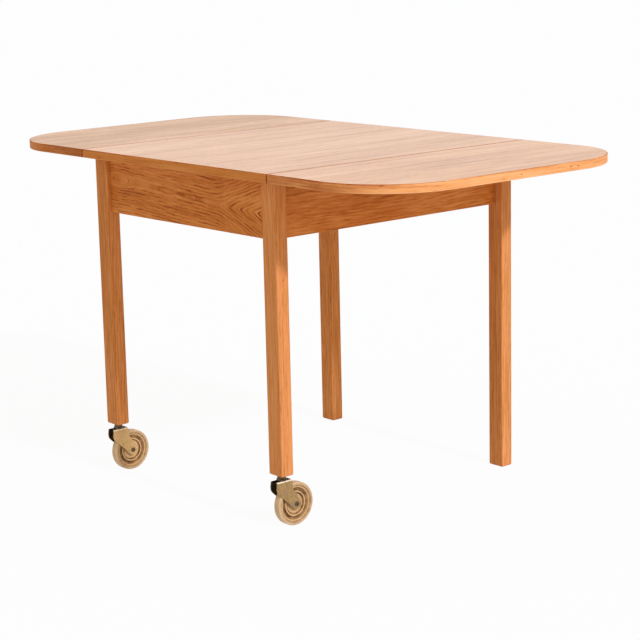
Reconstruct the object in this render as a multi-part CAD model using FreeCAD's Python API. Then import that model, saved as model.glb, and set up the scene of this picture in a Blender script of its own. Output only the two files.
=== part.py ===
import FreeCAD, Part
import math
import os

# Folding coffee table: a centre top on four legs, a drop leaf on each long side, and a swivel
# caster under each leg of one end. Millimetres, +Z up. The origin is on the floor under the
# middle of the top. X runs along the seams, and the casters are at the -X end, the front.
# The right leaf is at -Y and the left leaf at +Y. The leaves are modelled raised.

# Overall sizes
table_height = 611.0
top_length = 604.0
seam_spacing = 528.0
leaf_width = 280.0
corner_radius = 147.0
board_thickness = 15.0
seam_gap = 2.0
edging_thickness = 2.0
edging_chamfer = 0.7

# Frame
leg_length_x = 26.0
leg_width_y = 34.0
leg_chamfer = 1.2
end_overhang = 22.0
side_inset = 8.0
apron_height = 100.0
apron_thickness = 16.0
end_apron_setback = 8.0
side_apron_setback = 18.0

# Dowels between legs and aprons
dowel_diameter = 8.0
dowel_depth_in_leg = 11.0
dowel_depth_in_apron = 18.0
end_dowel_drop = 22.0
side_dowel_drop = 40.0
dowel_pitch = 44.0
dowel_clearance = 0.05

# Corner blocks and frame screws
block_side = 32.0
block_height = 40.0
block_chamfer = 10.0
frame_screw_diameter = 4.0
frame_screw_head = 8.0
frame_screw_grip = 11.0
top_screw_grip = 10.0
end_screw_drop = 12.0
side_screw_drop = 27.0
screw_clearance = 0.05

# Leaf hinges
hinge_place_x = 215.0
hinge_length = 40.0
hinge_leaf_width = 30.0
hinge_plate = 1.5
hinge_corner = 4.0
barrel_radius = 3.0
hinge_pin_radius = 1.5
hinge_pin_clearance = 0.05
knuckle_length = 13.0
knuckle_gap = 0.3
barrel_groove_clearance = 0.3
plate_pocket_clearance = 0.2
hinge_screw_diameter = 3.2
hinge_screw_head = 6.0
hinge_screw_length = 12.0
hinge_screw_row_x = 14.0
hinge_screw_near = 11.0
hinge_screw_far = 22.0

# Swing brackets
bracket_reach = 185.0
bracket_thickness = 15.0
bracket_apron_clearance = 0.5
bracket_top_clearance = 0.3
bracket_root_height = 44.0
bracket_tip_height = 24.0
bracket_straight = 34.0
bracket_tip_radius = 10.0
knuckle_finger_height = 14.0
finger_gap = 0.3
knuckle_end_clearance = 0.3
bracket_pin_radius = 2.5
bracket_pin_clearance = 0.05
bracket_pin_recess = 1.0
knuckle_block_length = 62.0
block_screw_pitch = 32.0
block_screw_edge = 12.0
block_screw_grip = 11.0

# Casters
wheel_diameter = 76.0
wheel_width = 14.0
caster_trail = 25.0
caster_height = 93.5
fork_sheet = 1.5
fork_inner_width = 15.0
fork_top = 84.0
fork_front = 18.0
fork_back = 15.6
fork_front_drop = 19.0
fork_boss_radius = 9.5
fork_waist_back = 2.0
fork_waist_drop = 17.0
fork_bend_radius = 3.0
web_lip = 5.0
cup_diameter = 18.0
cup_height = 3.6
cup_rim_height = 2.4
collar_diameter = 15.0
socket_flange_diameter = 17.0
socket_flange = 1.2
socket_diameter = 11.0
socket_depth = 42.0
stem_diameter = 8.0
stem_length = 38.0
stem_clearance = 0.05
stem_head_diameter = 13.0
stem_head = 2.0
swivel_clearance = 0.1
axle_diameter = 5.0
axle_head_diameter = 9.0
axle_head = 1.6
axle_recess_diameter = 3.0
axle_clearance = 0.05
bush_wall = 1.0
bush_end_clearance = 0.2
tyre_thickness = 7.0
tyre_round = 2.0
hub_radius = 8.0
web_half = 2.6
ring_inner_radius = 18.6
ring_outer_radius = 21.8
ring_half = 4.8
rim_inner_radius = 25.2
rim_half = 5.6

overrun = 1.0

# Derived heights and planes
underside = table_height - board_thickness
half_top = top_length / 2
seam_y = seam_spacing / 2
centre_edge = seam_y - seam_gap / 2
leaf_inner = seam_y + seam_gap / 2
leaf_outer = seam_y + leaf_width
leg_outer_x = half_top - end_overhang
leg_inner_x = leg_outer_x - leg_length_x
leg_outer_y = seam_y - side_inset
leg_inner_y = leg_outer_y - leg_width_y
leg_mid_x = leg_outer_x - leg_length_x / 2
leg_mid_y = leg_outer_y - leg_width_y / 2
end_apron_outer = leg_outer_x - end_apron_setback
end_apron_inner = end_apron_outer - apron_thickness
end_apron_mid = end_apron_outer - apron_thickness / 2
side_apron_outer = leg_outer_y - side_apron_setback
side_apron_inner = side_apron_outer - apron_thickness
side_apron_mid = side_apron_outer - apron_thickness / 2
apron_bottom = underside - apron_height

# Derived places of the brackets
bracket_inner = side_apron_outer + bracket_apron_clearance
pivot_y = bracket_inner + bracket_thickness / 2
bracket_outer = bracket_inner + bracket_thickness
bracket_top = underside - bracket_top_clearance
bracket_bottom = bracket_top - bracket_root_height
finger_radius = bracket_thickness / 2
shoulder = finger_radius + knuckle_end_clearance

# Derived places of the casters
axle_z = wheel_diameter / 2
wheel_radius = wheel_diameter / 2
fork_outer_half = fork_inner_width / 2 + fork_sheet
plate_bottom = fork_top - fork_sheet

UP = FreeCAD.Vector(0, 0, 1)
ENDS = {"front": -1, "back": 1}
SIDES = {"right": -1, "left": 1}


def vec(x, y, z):
    """Return a vector."""
    return FreeCAD.Vector(x, y, z)


def box(x0, x1, y0, y1, z0, z1):
    """Return a box between pairs of coordinates given in any order."""
    low = vec(min(x0, x1), min(y0, y1), min(z0, z1))
    return Part.makeBox(abs(x1 - x0), abs(y1 - y0), abs(z1 - z0), low)


def rod(radius, start, end):
    """Return a cylinder between two points."""
    along = end.sub(start)
    return Part.makeCylinder(radius, along.Length, start, along)


def cone(radius_start, radius_end, start, end):
    """Return a cone between two points."""
    along = end.sub(start)
    return Part.makeCone(radius_start, radius_end, along.Length, start, along)


def side_mirror(shape, side):
    """Return the shape as drawn for the +Y side, or its mirror image on the -Y side."""
    return shape if side > 0 else shape.mirror(vec(0, 0, 0), vec(0, 1, 0))


def end_mirror(shape, end):
    """Return the shape as drawn for the +X end, or its mirror image at the -X end."""
    return shape if end > 0 else shape.mirror(vec(0, 0, 0), vec(1, 0, 0))


def on_corner(shape, end, side):
    """Return the shape as drawn for the +X +Y corner, moved to a corner by mirror images."""
    return end_mirror(side_mirror(shape, side), end)


def chamfer_edges(shape, size, keep):
    """Return the shape with a chamfer on each edge that the keep function accepts."""
    return shape.makeChamfer(size, [edge for edge in shape.Edges if keep(edge)])


def is_vertical(edge):
    """Tell whether an edge is a straight vertical line."""
    ends = [vertex.Point for vertex in edge.Vertexes]
    return len(ends) == 2 and abs(ends[0].z - ends[1].z) > abs(ends[0].x - ends[1].x) \
        + abs(ends[0].y - ends[1].y)


def extrude_profile(points, along):
    """Return a prism over a closed outline of straight lines."""
    outline = Part.makePolygon(points + [points[0]])
    return Part.Face(outline).extrude(along)


def revolve_profile(points, centre, axis):
    """Return the solid swept by a closed outline of straight lines round an axis."""
    outline = Part.makePolygon(points + [points[0]])
    return Part.Face(outline).revolve(centre, axis, 360)


# Top

def leaf_outline(inset):
    """Return the outline face of the left leaf, drawn in by the inset on its three free sides."""
    x = half_top - inset
    y = leaf_outer - inset
    radius = corner_radius - inset
    rise = radius * math.sin(math.pi / 4)
    round_x = x - radius
    round_y = y - radius
    lines = [
        Part.makeLine(vec(-x, leaf_inner, 0), vec(x, leaf_inner, 0)),
        Part.makeLine(vec(x, leaf_inner, 0), vec(x, round_y, 0)),
        Part.Arc(vec(x, round_y, 0), vec(round_x + rise, round_y + rise, 0),
                 vec(round_x, y, 0)).toShape(),
        Part.makeLine(vec(round_x, y, 0), vec(-round_x, y, 0)),
        Part.Arc(vec(-round_x, y, 0), vec(-round_x - rise, round_y + rise, 0),
                 vec(-x, round_y, 0)).toShape(),
        Part.makeLine(vec(-x, round_y, 0), vec(-x, leaf_inner, 0)),
    ]
    return Part.Face(Part.Wire(lines))


def leaf_slab(inset):
    """Return the left leaf's full thickness over an outline."""
    slab = leaf_outline(inset).extrude(UP * board_thickness)
    slab.translate(UP * underside)
    return slab


def plate_outline(length, width, corner):
    """Return a hinge leaf's face from its barrel line at y = 0 outward, far corners rounded."""
    half = length / 2
    cut = corner * (1 - math.sin(math.pi / 4))
    lines = [
        Part.makeLine(vec(-half, 0, 0), vec(half, 0, 0)),
        Part.makeLine(vec(half, 0, 0), vec(half, width - corner, 0)),
        Part.Arc(vec(half, width - corner, 0), vec(half - cut, width - cut, 0),
                 vec(half - corner, width, 0)).toShape(),
        Part.makeLine(vec(half - corner, width, 0), vec(-half + corner, width, 0)),
        Part.Arc(vec(-half + corner, width, 0), vec(-half + cut, width - cut, 0),
                 vec(-half, width - corner, 0)).toShape(),
        Part.makeLine(vec(-half, width - corner, 0), vec(-half, 0, 0)),
    ]
    return Part.Face(Part.Wire(lines))


def place_hinge_shape(shape, x, outward):
    """Move a shape drawn from a barrel line at the origin to the left seam, facing a leaf or in."""
    placed = shape if outward else shape.mirror(vec(0, 0, 0), vec(0, 1, 0))
    placed.translate(vec(x, seam_y, underside))
    return placed


def hinge_pocket(outward):
    """Return what a board loses to the left seam's two hinges: plate pockets, barrel grooves."""
    pockets = []
    for x in (-hinge_place_x, hinge_place_x):
        pocket = plate_outline(hinge_length + 2 * plate_pocket_clearance,
                               hinge_leaf_width + plate_pocket_clearance, hinge_corner)
        pocket = pocket.extrude(UP * (hinge_plate + overrun))
        pocket.translate(UP * -overrun)
        pockets.append(place_hinge_shape(pocket, x, outward))
        half = hinge_length / 2 + plate_pocket_clearance
        pockets.append(rod(barrel_radius + barrel_groove_clearance,
                           vec(x - half, seam_y, underside), vec(x + half, seam_y, underside)))
    return pockets


def screw_spots():
    """Return the (x, distance from the seam) of the screws of one hinge leaf."""
    return [(-hinge_screw_row_x, hinge_screw_near), (hinge_screw_row_x, hinge_screw_near),
            (0, hinge_screw_far)]


def hinge_screw_sites(outward):
    """Return the points at which the left seam's hinge screws enter one board."""
    facing = 1 if outward else -1
    return [vec(place + dx, seam_y + facing * reach, underside)
            for place in (-hinge_place_x, hinge_place_x) for dx, reach in screw_spots()]


def screw_hole(site, along, diameter, length):
    """Return the hole for a screw's shank from a surface point inward."""
    return rod(diameter / 2 + screw_clearance, site, site.add(along * (length + screw_clearance)))


def screw_body(site, along, diameter, head, length):
    """Return a countersunk wood screw whose head lies flush at the site."""
    sink = (head - diameter) / 2
    shank_end = length - diameter
    top = cone(head / 2, diameter / 2, site, site.add(along * sink))
    shank = rod(diameter / 2, site.add(along * sink), site.add(along * shank_end))
    tip = cone(diameter / 2, 0, site.add(along * shank_end), site.add(along * length))
    return top.fuse([shank, tip]).removeSplitter()


def countersink(site, along, diameter, head):
    """Return the conical seat and shank hole that a screw's head needs in a plate or block."""
    sink = (head - diameter) / 2
    wide = head / 2 + screw_clearance
    narrow = diameter / 2 + screw_clearance
    return cone(wide, narrow, site, site.add(along * sink))


def make_centre_top():
    """Make the centre board and its four edgings."""
    end_x = half_top - edging_thickness
    edge_y = centre_edge - edging_thickness
    pockets = hinge_pocket(False)
    pockets += [side_mirror(shape, -1) for shape in hinge_pocket(False)]
    board = box(-end_x, end_x, -edge_y, edge_y, underside, table_height).cut(pockets)
    holes = []
    for site in hinge_screw_sites(False):
        hole = screw_hole(site, UP, hinge_screw_diameter, hinge_screw_length)
        holes += [hole, side_mirror(hole, -1)]
    for end in ENDS.values():
        for side in SIDES.values():
            holes.append(on_corner(top_screw_hole(), end, side))
    save("centre_board", board.cut(holes))
    for name, end in ENDS.items():
        strip = box(end_x, half_top, -centre_edge, centre_edge, underside, table_height)
        strip = chamfer_edges(strip, edging_chamfer, lambda edge: on_plane_x(edge, half_top))
        save("centre_edging_" + name, end_mirror(strip, end))
    for name, side in SIDES.items():
        strip = box(-end_x, end_x, edge_y, centre_edge, underside, table_height)
        save("centre_edging_" + name, side_mirror(strip.cut(hinge_pocket(False)), side))


def on_plane_x(edge, x):
    """Tell whether an edge lies in the plane at x and runs level."""
    slack = edging_thickness / 10
    points = [vertex.Point for vertex in edge.Vertexes]
    return all(abs(point.x - x) < slack for point in points) and not is_vertical(edge)


def make_leaf(name, side):
    """Make one leaf: board, edging bent round the free sides, and seam edging."""
    seam_strip_outer = leaf_inner + edging_thickness
    core = leaf_slab(edging_thickness)
    seam_band = box(-half_top, half_top, leaf_inner, seam_strip_outer, underside, table_height)
    pockets = hinge_pocket(True)
    holes = [screw_hole(site, UP, hinge_screw_diameter, hinge_screw_length)
             for site in hinge_screw_sites(True)]
    save("leaf_board_" + name, side_mirror(core.cut([seam_band] + pockets + holes), side))
    save("leaf_seam_edging_" + name, side_mirror(core.common(seam_band).cut(pockets), side))
    rim = leaf_slab(0).cut(core)
    level = [edge for edge in rim.Edges if is_leaf_arris(edge)]
    save("leaf_edging_" + name, side_mirror(rim.makeChamfer(edging_chamfer, level), side))


def is_leaf_arris(edge):
    """Tell whether an edge is one of the outer top or bottom edges of the bent leaf edging."""
    middle = edge.valueAt((edge.FirstParameter + edge.LastParameter) / 2)
    slack = edging_thickness / 10
    if is_vertical(edge):
        return False
    if abs(middle.z - underside) > slack and abs(middle.z - table_height) > slack:
        return False
    round_x = half_top - corner_radius
    round_y = leaf_outer - corner_radius
    beyond_x = max(abs(middle.x) - round_x, 0)
    beyond_y = max(middle.y - round_y, 0)
    if beyond_x > 0 and beyond_y > 0:
        return abs(math.hypot(beyond_x, beyond_y) - corner_radius) < slack
    return abs(abs(middle.x) - half_top) < slack or abs(middle.y - leaf_outer) < slack


# Frame

def dowel_sites():
    """Return the joint points of the dowels at the +X +Y leg: end apron, then side apron."""
    sites = []
    for step in range(2):
        drop = step * dowel_pitch
        end_z = underside - end_dowel_drop - drop
        side_z = underside - side_dowel_drop - drop
        sites.append((vec(end_apron_mid, leg_inner_y, end_z), vec(0, 1, 0)))
        sites.append((vec(leg_inner_x, side_apron_mid, side_z), vec(1, 0, 0)))
    return sites


def dowel(spot, into_leg, clearance):
    """Return a dowel, or with a clearance its hole, across a joint face."""
    start = spot.sub(into_leg * (dowel_depth_in_apron + clearance))
    end = spot.add(into_leg * (dowel_depth_in_leg + clearance))
    return rod(dowel_diameter / 2 + clearance, start, end)


def make_dowels():
    """Make the sixteen dowels as one group."""
    solids = []
    for end in ENDS.values():
        for side in SIDES.values():
            solids += [on_corner(dowel(spot, into, 0), end, side) for spot, into in dowel_sites()]
    save("apron_dowels", Part.makeCompound(solids))


def make_legs():
    """Make the four legs; the two front ones stop above their casters."""
    holes = [dowel(spot, into, dowel_clearance) for spot, into in dowel_sites()]
    for end_name, end in ENDS.items():
        bottom = caster_height if end < 0 else 0
        post = box(leg_inner_x, leg_outer_x, leg_inner_y, leg_outer_y, bottom, underside)
        post = chamfer_edges(post, leg_chamfer, is_vertical)
        foot = [edge for edge in post.Edges if lies_level(edge, bottom)]
        post = post.makeChamfer(leg_chamfer / 2, foot).cut(holes)
        if end < 0:
            post = post.cut(socket_bore())
        for side_name, side in SIDES.items():
            save("leg_%s_%s" % (end_name, side_name), on_corner(post, end, side))


def lies_level(edge, z):
    """Tell whether an edge lies in the level plane at z."""
    slack = leg_chamfer / 10
    return all(abs(vertex.Point.z - z) < slack for vertex in edge.Vertexes)


def make_aprons():
    """Make the two end aprons and the two side aprons with their dowel and screw holes."""
    holes = []
    for end in ENDS.values():
        for side in SIDES.values():
            corner = [dowel(spot, into, dowel_clearance) for spot, into in dowel_sites()]
            corner += [frame_screw_hole(spot, into) for spot, into in frame_screw_sites()]
            holes += [on_corner(hole, end, side) for hole in corner]
    for name, end in ENDS.items():
        board = box(end_apron_inner, end_apron_outer, -leg_inner_y, leg_inner_y,
                    apron_bottom, underside)
        save("apron_" + name, end_mirror(board, end).cut(holes))
    for name, side in SIDES.items():
        board = box(-leg_inner_x, leg_inner_x, side_apron_inner, side_apron_outer,
                    apron_bottom, underside)
        knuckle_holes = [knuckle_screw_hole(site) for site in knuckle_screw_sites()]
        side_holes = [side_mirror(hole, side) for hole in knuckle_holes]
        save("apron_" + name, side_mirror(board, side).cut(holes + side_holes))


# Corner blocks

def frame_screw_sites():
    """Return head points and directions of the two level screws of the +X +Y corner block."""
    side_x = end_apron_inner - block_side / 2 - frame_screw_diameter / 2
    end_y = side_apron_inner - block_side / 2 - frame_screw_diameter / 2
    return [
        (vec(end_apron_inner - block_side, end_y, underside - end_screw_drop), vec(1, 0, 0)),
        (vec(side_x, side_apron_inner - block_side, underside - side_screw_drop), vec(0, 1, 0)),
    ]


def frame_screw_length():
    """Return the length of a level screw through a corner block into an apron."""
    return block_side + frame_screw_grip


def frame_screw_hole(spot, into):
    """Return the hole of one level corner screw."""
    return screw_hole(spot, into, frame_screw_diameter, frame_screw_length())


def top_screw_site():
    """Return the head point of the screw that holds the top at the +X +Y corner."""
    return vec(end_apron_inner - block_side / 4, side_apron_inner - block_side / 4,
               underside - block_height)


def top_screw_hole():
    """Return the hole of the screw that goes up through the +X +Y block into the top."""
    return screw_hole(top_screw_site(), UP, frame_screw_diameter, block_height + top_screw_grip)


def make_corner_blocks():
    """Make the four corner blocks and the two groups of screws that hold them."""
    inner_x = end_apron_inner - block_side
    inner_y = side_apron_inner - block_side
    corner = vec(inner_x, inner_y, underside - block_height)
    wedge = extrude_profile([corner, corner.add(vec(block_chamfer, 0, 0)),
                             corner.add(vec(0, block_chamfer, 0))], UP * block_height)
    block = box(inner_x, end_apron_inner, inner_y, side_apron_inner,
                underside - block_height, underside).cut(wedge)
    cuts = [top_screw_hole(), countersink(top_screw_site(), UP, frame_screw_diameter,
                                          frame_screw_head)]
    for spot, into in frame_screw_sites():
        cuts.append(frame_screw_hole(spot, into))
        cuts.append(countersink(spot, into, frame_screw_diameter, frame_screw_head))
    block = block.cut(cuts)
    level_screws = []
    top_screws = []
    for end_name, end in ENDS.items():
        for side_name, side in SIDES.items():
            save("corner_block_%s_%s" % (end_name, side_name), on_corner(block, end, side))
            for spot, into in frame_screw_sites():
                screw = screw_body(spot, into, frame_screw_diameter, frame_screw_head,
                                   frame_screw_length())
                level_screws.append(on_corner(screw, end, side))
            screw = screw_body(top_screw_site(), UP, frame_screw_diameter, frame_screw_head,
                               block_height + top_screw_grip)
            top_screws.append(on_corner(screw, end, side))
    save("corner_block_screws", Part.makeCompound(level_screws))
    save("top_screws", Part.makeCompound(top_screws))


# Leaf hinges

def hinge_leaf(outward):
    """Return one hinge leaf at its barrel line: fixed with two knuckles, moving with one."""
    half_knuckle = knuckle_length / 2
    half = hinge_length / 2
    inner = (-half_knuckle + knuckle_gap / 2, half_knuckle - knuckle_gap / 2)
    outer = ((-half, -half_knuckle - knuckle_gap / 2), (half_knuckle + knuckle_gap / 2, half))
    own, other = ([inner], outer) if outward else (outer, [inner])
    plate = plate_outline(hinge_length, hinge_leaf_width, hinge_corner).extrude(UP * hinge_plate)
    barrels = [rod(barrel_radius, vec(low, 0, 0), vec(high, 0, 0)) for low, high in own]
    clear = barrel_radius + barrel_groove_clearance
    notches = [box(low - knuckle_gap, high + knuckle_gap, -clear, clear, -clear, clear)
               for low, high in other]
    bore = hinge_pin_radius + (hinge_pin_clearance if outward else 0)
    hole = rod(bore, vec(-half - overrun, 0, 0), vec(half + overrun, 0, 0))
    leaf = plate.cut(notches).fuse(barrels).cut(hole)
    sinks = []
    for dx, reach in screw_spots():
        site = vec(dx, reach, 0)
        sinks.append(countersink(site, UP, hinge_screw_diameter, hinge_screw_head))
        sinks.append(screw_hole(site, UP, hinge_screw_diameter, hinge_screw_length))
    return leaf.cut(sinks).removeSplitter()


def make_hinges():
    """Make the hinge leaves, pins and screws of both seams, the leaves of one seam as a group."""
    fixed_screws = []
    for name, side in SIDES.items():
        for kind, outward in (("fixed", False), ("moving", True)):
            leaves = [place_hinge_shape(hinge_leaf(outward), x, outward)
                      for x in (-hinge_place_x, hinge_place_x)]
            leaves = [side_mirror(leaf, side) for leaf in leaves]
            save("hinge_plates_%s_%s" % (kind, name), Part.makeCompound(leaves))
            screws = [screw_body(site, UP, hinge_screw_diameter, hinge_screw_head,
                                 hinge_screw_length) for site in hinge_screw_sites(outward)]
            screws = [side_mirror(screw, side) for screw in screws]
            if outward:
                save("hinge_screws_leaf_" + name, Part.makeCompound(screws))
            else:
                fixed_screws += screws
        half = hinge_length / 2
        pins = [rod(hinge_pin_radius, vec(x - half, seam_y, underside),
                    vec(x + half, seam_y, underside)) for x in (-hinge_place_x, hinge_place_x)]
        save("hinge_pins_" + name, Part.makeCompound([side_mirror(pin, side) for pin in pins]))
    save("hinge_screws_centre", Part.makeCompound(fixed_screws))


# Swing brackets

def finger_levels():
    """Return the height bands of the block's top and bottom fingers and of the arm's finger."""
    low = bracket_bottom + knuckle_finger_height
    high = bracket_top - knuckle_finger_height
    return (bracket_bottom, low), (high, bracket_top), (low + finger_gap, high - finger_gap)


def finger(low, high, toward):
    """Return one rounded knuckle finger about the left pivot, joined to a body along X."""
    tongue = rod(finger_radius, vec(0, pivot_y, low), vec(0, pivot_y, high))
    neck = box(0, toward * shoulder, bracket_inner, bracket_outer, low, high)
    return tongue.fuse(neck)


def pivot_rod(radius, low, high):
    """Return a cylinder on the left bracket's pivot axis."""
    return rod(radius, vec(0, pivot_y, low), vec(0, pivot_y, high))


def knuckle_screw_sites():
    """Return the head points of the two screws of the left knuckle block."""
    first_x = -shoulder - block_screw_edge
    middle_z = (bracket_bottom + bracket_top) / 2
    return [vec(first_x, bracket_outer, middle_z),
            vec(first_x - block_screw_pitch, bracket_outer, middle_z)]


def knuckle_screw_length():
    """Return the length of a knuckle block screw, which ends inside the side apron."""
    return bracket_outer - side_apron_outer + block_screw_grip


def knuckle_screw_hole(site):
    """Return the hole of one knuckle block screw."""
    return screw_hole(site, vec(0, -1, 0), frame_screw_diameter, knuckle_screw_length())


def make_knuckle_blocks():
    """Make the two fixed knuckle blocks, their pins and the group of their screws."""
    bottom_band, top_band, _ = finger_levels()
    body = box(-shoulder - knuckle_block_length, -shoulder, side_apron_outer, bracket_outer,
               bracket_bottom, bracket_top)
    block = body.fuse([finger(low, high, -1) for low, high in (bottom_band, top_band)])
    block = block.removeSplitter()
    cuts = [pivot_rod(bracket_pin_radius, bracket_bottom - overrun, bracket_top + overrun)]
    for site in knuckle_screw_sites():
        cuts.append(knuckle_screw_hole(site))
        cuts.append(countersink(site, vec(0, -1, 0), frame_screw_diameter, frame_screw_head))
    block = block.cut(cuts)
    pin = pivot_rod(bracket_pin_radius, bracket_bottom + bracket_pin_recess,
                    bracket_top - bracket_pin_recess)
    screws = []
    for name, side in SIDES.items():
        save("bracket_block_" + name, side_mirror(block, side))
        save("bracket_pin_" + name, side_mirror(pin, side))
        for site in knuckle_screw_sites():
            screw = screw_body(site, vec(0, -1, 0), frame_screw_diameter, frame_screw_head,
                               knuckle_screw_length())
            screws.append(side_mirror(screw, side))
    save("bracket_block_screws", Part.makeCompound(screws))


def arm_profile():
    """Return the side outline of a bracket arm: straight root, curved underside, round tip."""
    tip_bottom = bracket_top - bracket_tip_height
    curve_start = shoulder + bracket_straight
    curve_end = bracket_reach - bracket_tip_radius
    middle_x = (curve_start + curve_end) / 2
    sweep = Part.BezierCurve()
    sweep.setPoles([vec(curve_start, 0, bracket_bottom), vec(middle_x, 0, bracket_bottom),
                    vec(middle_x, 0, tip_bottom), vec(curve_end, 0, tip_bottom)])
    cut = bracket_tip_radius * (1 - math.sin(math.pi / 4))
    lines = [
        Part.makeLine(vec(shoulder, 0, bracket_top), vec(shoulder, 0, bracket_bottom)),
        Part.makeLine(vec(shoulder, 0, bracket_bottom), vec(curve_start, 0, bracket_bottom)),
        sweep.toShape(),
        Part.Arc(vec(curve_end, 0, tip_bottom), vec(bracket_reach - cut, 0, tip_bottom + cut),
                 vec(bracket_reach, 0, tip_bottom + bracket_tip_radius)).toShape(),
        Part.makeLine(vec(bracket_reach, 0, tip_bottom + bracket_tip_radius),
                      vec(bracket_reach, 0, bracket_top)),
        Part.makeLine(vec(bracket_reach, 0, bracket_top), vec(shoulder, 0, bracket_top)),
    ]
    return Part.Face(Part.Wire(lines))


def make_bracket_arms():
    """Make the two swinging arms, folded along the side aprons."""
    _, _, (low, high) = finger_levels()
    body = arm_profile().extrude(vec(0, bracket_thickness, 0))
    body.translate(vec(0, bracket_inner, 0))
    arm = body.fuse(finger(low, high, 1)).removeSplitter()
    bore = bracket_pin_radius + bracket_pin_clearance
    arm = arm.cut(pivot_rod(bore, low - overrun, high + overrun))
    for name, side in SIDES.items():
        save("bracket_arm_" + name, side_mirror(arm, side))


# Casters

def at_caster(shape, side):
    """Return a shape drawn about the origin, moved under the front leg of a side."""
    placed = shape.copy()
    placed.translate(vec(-leg_mid_x, side * leg_mid_y, 0))
    return placed


def ring(outer, inner, low, high):
    """Return a level ring about the vertical axis at the origin."""
    body = rod(outer, vec(0, 0, low), vec(0, 0, high))
    return body.cut(rod(inner, vec(0, 0, low - overrun), vec(0, 0, high + overrun)))


def socket_bore():
    """Return the hole for a stem socket in the +X +Y leg position."""
    bore = rod(socket_diameter / 2, vec(leg_mid_x, leg_mid_y, caster_height - overrun),
               vec(leg_mid_x, leg_mid_y, caster_height + socket_depth))
    return bore


def socket():
    """Return the flanged socket that is pressed up into the leg."""
    flange_bottom = caster_height - socket_flange
    tube = rod(socket_diameter / 2, vec(0, 0, caster_height),
               vec(0, 0, caster_height + socket_depth))
    flange = rod(socket_flange_diameter / 2, vec(0, 0, flange_bottom), vec(0, 0, caster_height))
    bore = rod(stem_diameter / 2 + stem_clearance, vec(0, 0, flange_bottom - overrun),
               vec(0, 0, caster_height + stem_length + stem_clearance))
    return tube.fuse(flange).removeSplitter().cut(bore)


def stem():
    """Return the stem: round pin, collar, bearing neck and the riveted head under the fork."""
    collar_top = caster_height - socket_flange
    collar_bottom = fork_top + swivel_clearance + cup_height
    head_top = plate_bottom - swivel_clearance
    tip = caster_height + stem_length
    radius = stem_diameter / 2
    tip_cut = stem_clearance + radius / 4
    outline = [
        vec(0, 0, head_top - stem_head), vec(stem_head_diameter / 2 - stem_head / 2, 0,
                                             head_top - stem_head),
        vec(stem_head_diameter / 2, 0, head_top - stem_head / 2),
        vec(stem_head_diameter / 2, 0, head_top), vec(radius, 0, head_top),
        vec(radius, 0, collar_bottom), vec(collar_diameter / 2, 0, collar_bottom),
        vec(collar_diameter / 2, 0, collar_top), vec(radius, 0, collar_top),
        vec(radius, 0, tip - tip_cut), vec(radius - tip_cut, 0, tip), vec(0, 0, tip),
    ]
    return revolve_profile(outline, vec(0, 0, 0), UP)


def cup():
    """Return the domed bearing cup between the collar and the fork."""
    low = fork_top + swivel_clearance
    top = low + cup_height
    bore = stem_diameter / 2
    outer = cup_diameter / 2
    shoulder_radius = (outer + collar_diameter / 2) / 2
    outline = [vec(bore, 0, low), vec(outer, 0, low), vec(outer, 0, low + cup_rim_height),
               vec(shoulder_radius, 0, top), vec(bore, 0, top)]
    return revolve_profile(outline, vec(0, 0, 0), UP)


def cheek_outline():
    """Return the side face of the fork: level top, front edge, boss round the axle."""
    front_low = fork_top - fork_front_drop
    centre = vec(caster_trail, 0, axle_z)
    front = vec(-fork_front, 0, front_low)
    waist = vec(fork_back + fork_waist_back, 0, fork_top - fork_waist_drop)
    front_touch = tangent_point(centre, fork_boss_radius, front, 1)
    back_touch = tangent_point(centre, fork_boss_radius, waist, -1)
    away = centre.sub(front.add(waist) * 0.5)
    away.normalize()
    lines = [
        Part.makeLine(vec(-fork_front, 0, fork_top), front),
        Part.makeLine(front, front_touch),
        Part.Arc(front_touch, centre.add(away * fork_boss_radius), back_touch).toShape(),
        Part.makeLine(back_touch, waist),
        Part.makeLine(waist, vec(fork_back, 0, fork_top)),
        Part.makeLine(vec(fork_back, 0, fork_top), vec(-fork_front, 0, fork_top)),
    ]
    return Part.Face(Part.Wire(lines))


def tangent_point(centre, radius, outside, turn):
    """Return where the tangent from an outside point in the XZ plane touches a circle."""
    along = outside.sub(centre)
    lean = math.acos(radius / along.Length) * turn
    angle = math.atan2(along.z, along.x) + lean
    return centre.add(vec(radius * math.cos(angle), 0, radius * math.sin(angle)))


def fork():
    """Return the folded sheet fork: top plate, front web with a lip, and two cheeks."""
    solid = cheek_outline().extrude(vec(0, 2 * fork_outer_half, 0))
    solid.translate(vec(0, -fork_outer_half, 0))
    bends = [edge for edge in solid.Edges if is_fork_bend(edge)]
    solid = solid.makeFillet(fork_bend_radius, bends)
    inner_half = fork_inner_width / 2
    inside_front = -fork_front + fork_sheet
    hollow = box(inside_front, caster_trail + 2 * fork_boss_radius, -inner_half, inner_half,
                 axle_z - 2 * fork_boss_radius, plate_bottom)
    below_web = box(-fork_front - overrun, inside_front, -inner_half, inner_half,
                    axle_z - 2 * fork_boss_radius, fork_top - fork_front_drop + web_lip)
    axle_hole = rod(axle_diameter / 2, vec(caster_trail, -fork_outer_half - overrun, axle_z),
                    vec(caster_trail, fork_outer_half + overrun, axle_z))
    stem_hole = rod(stem_diameter / 2 + stem_clearance, vec(0, 0, plate_bottom - overrun),
                    vec(0, 0, fork_top + overrun))
    return solid.cut([hollow, below_web, axle_hole, stem_hole])


def is_fork_bend(edge):
    """Tell whether an edge is one of the fork's folded corners, along the top or the front."""
    points = [vertex.Point for vertex in edge.Vertexes]
    slack = fork_sheet / 10
    at_side = all(abs(abs(point.y) - fork_outer_half) < slack for point in points)
    same_side = abs(points[0].y - points[1].y) < slack
    along_top = all(abs(point.z - fork_top) < slack for point in points)
    along_front = all(abs(point.x + fork_front) < slack for point in points)
    return at_side and same_side and (along_top or along_front)


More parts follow.
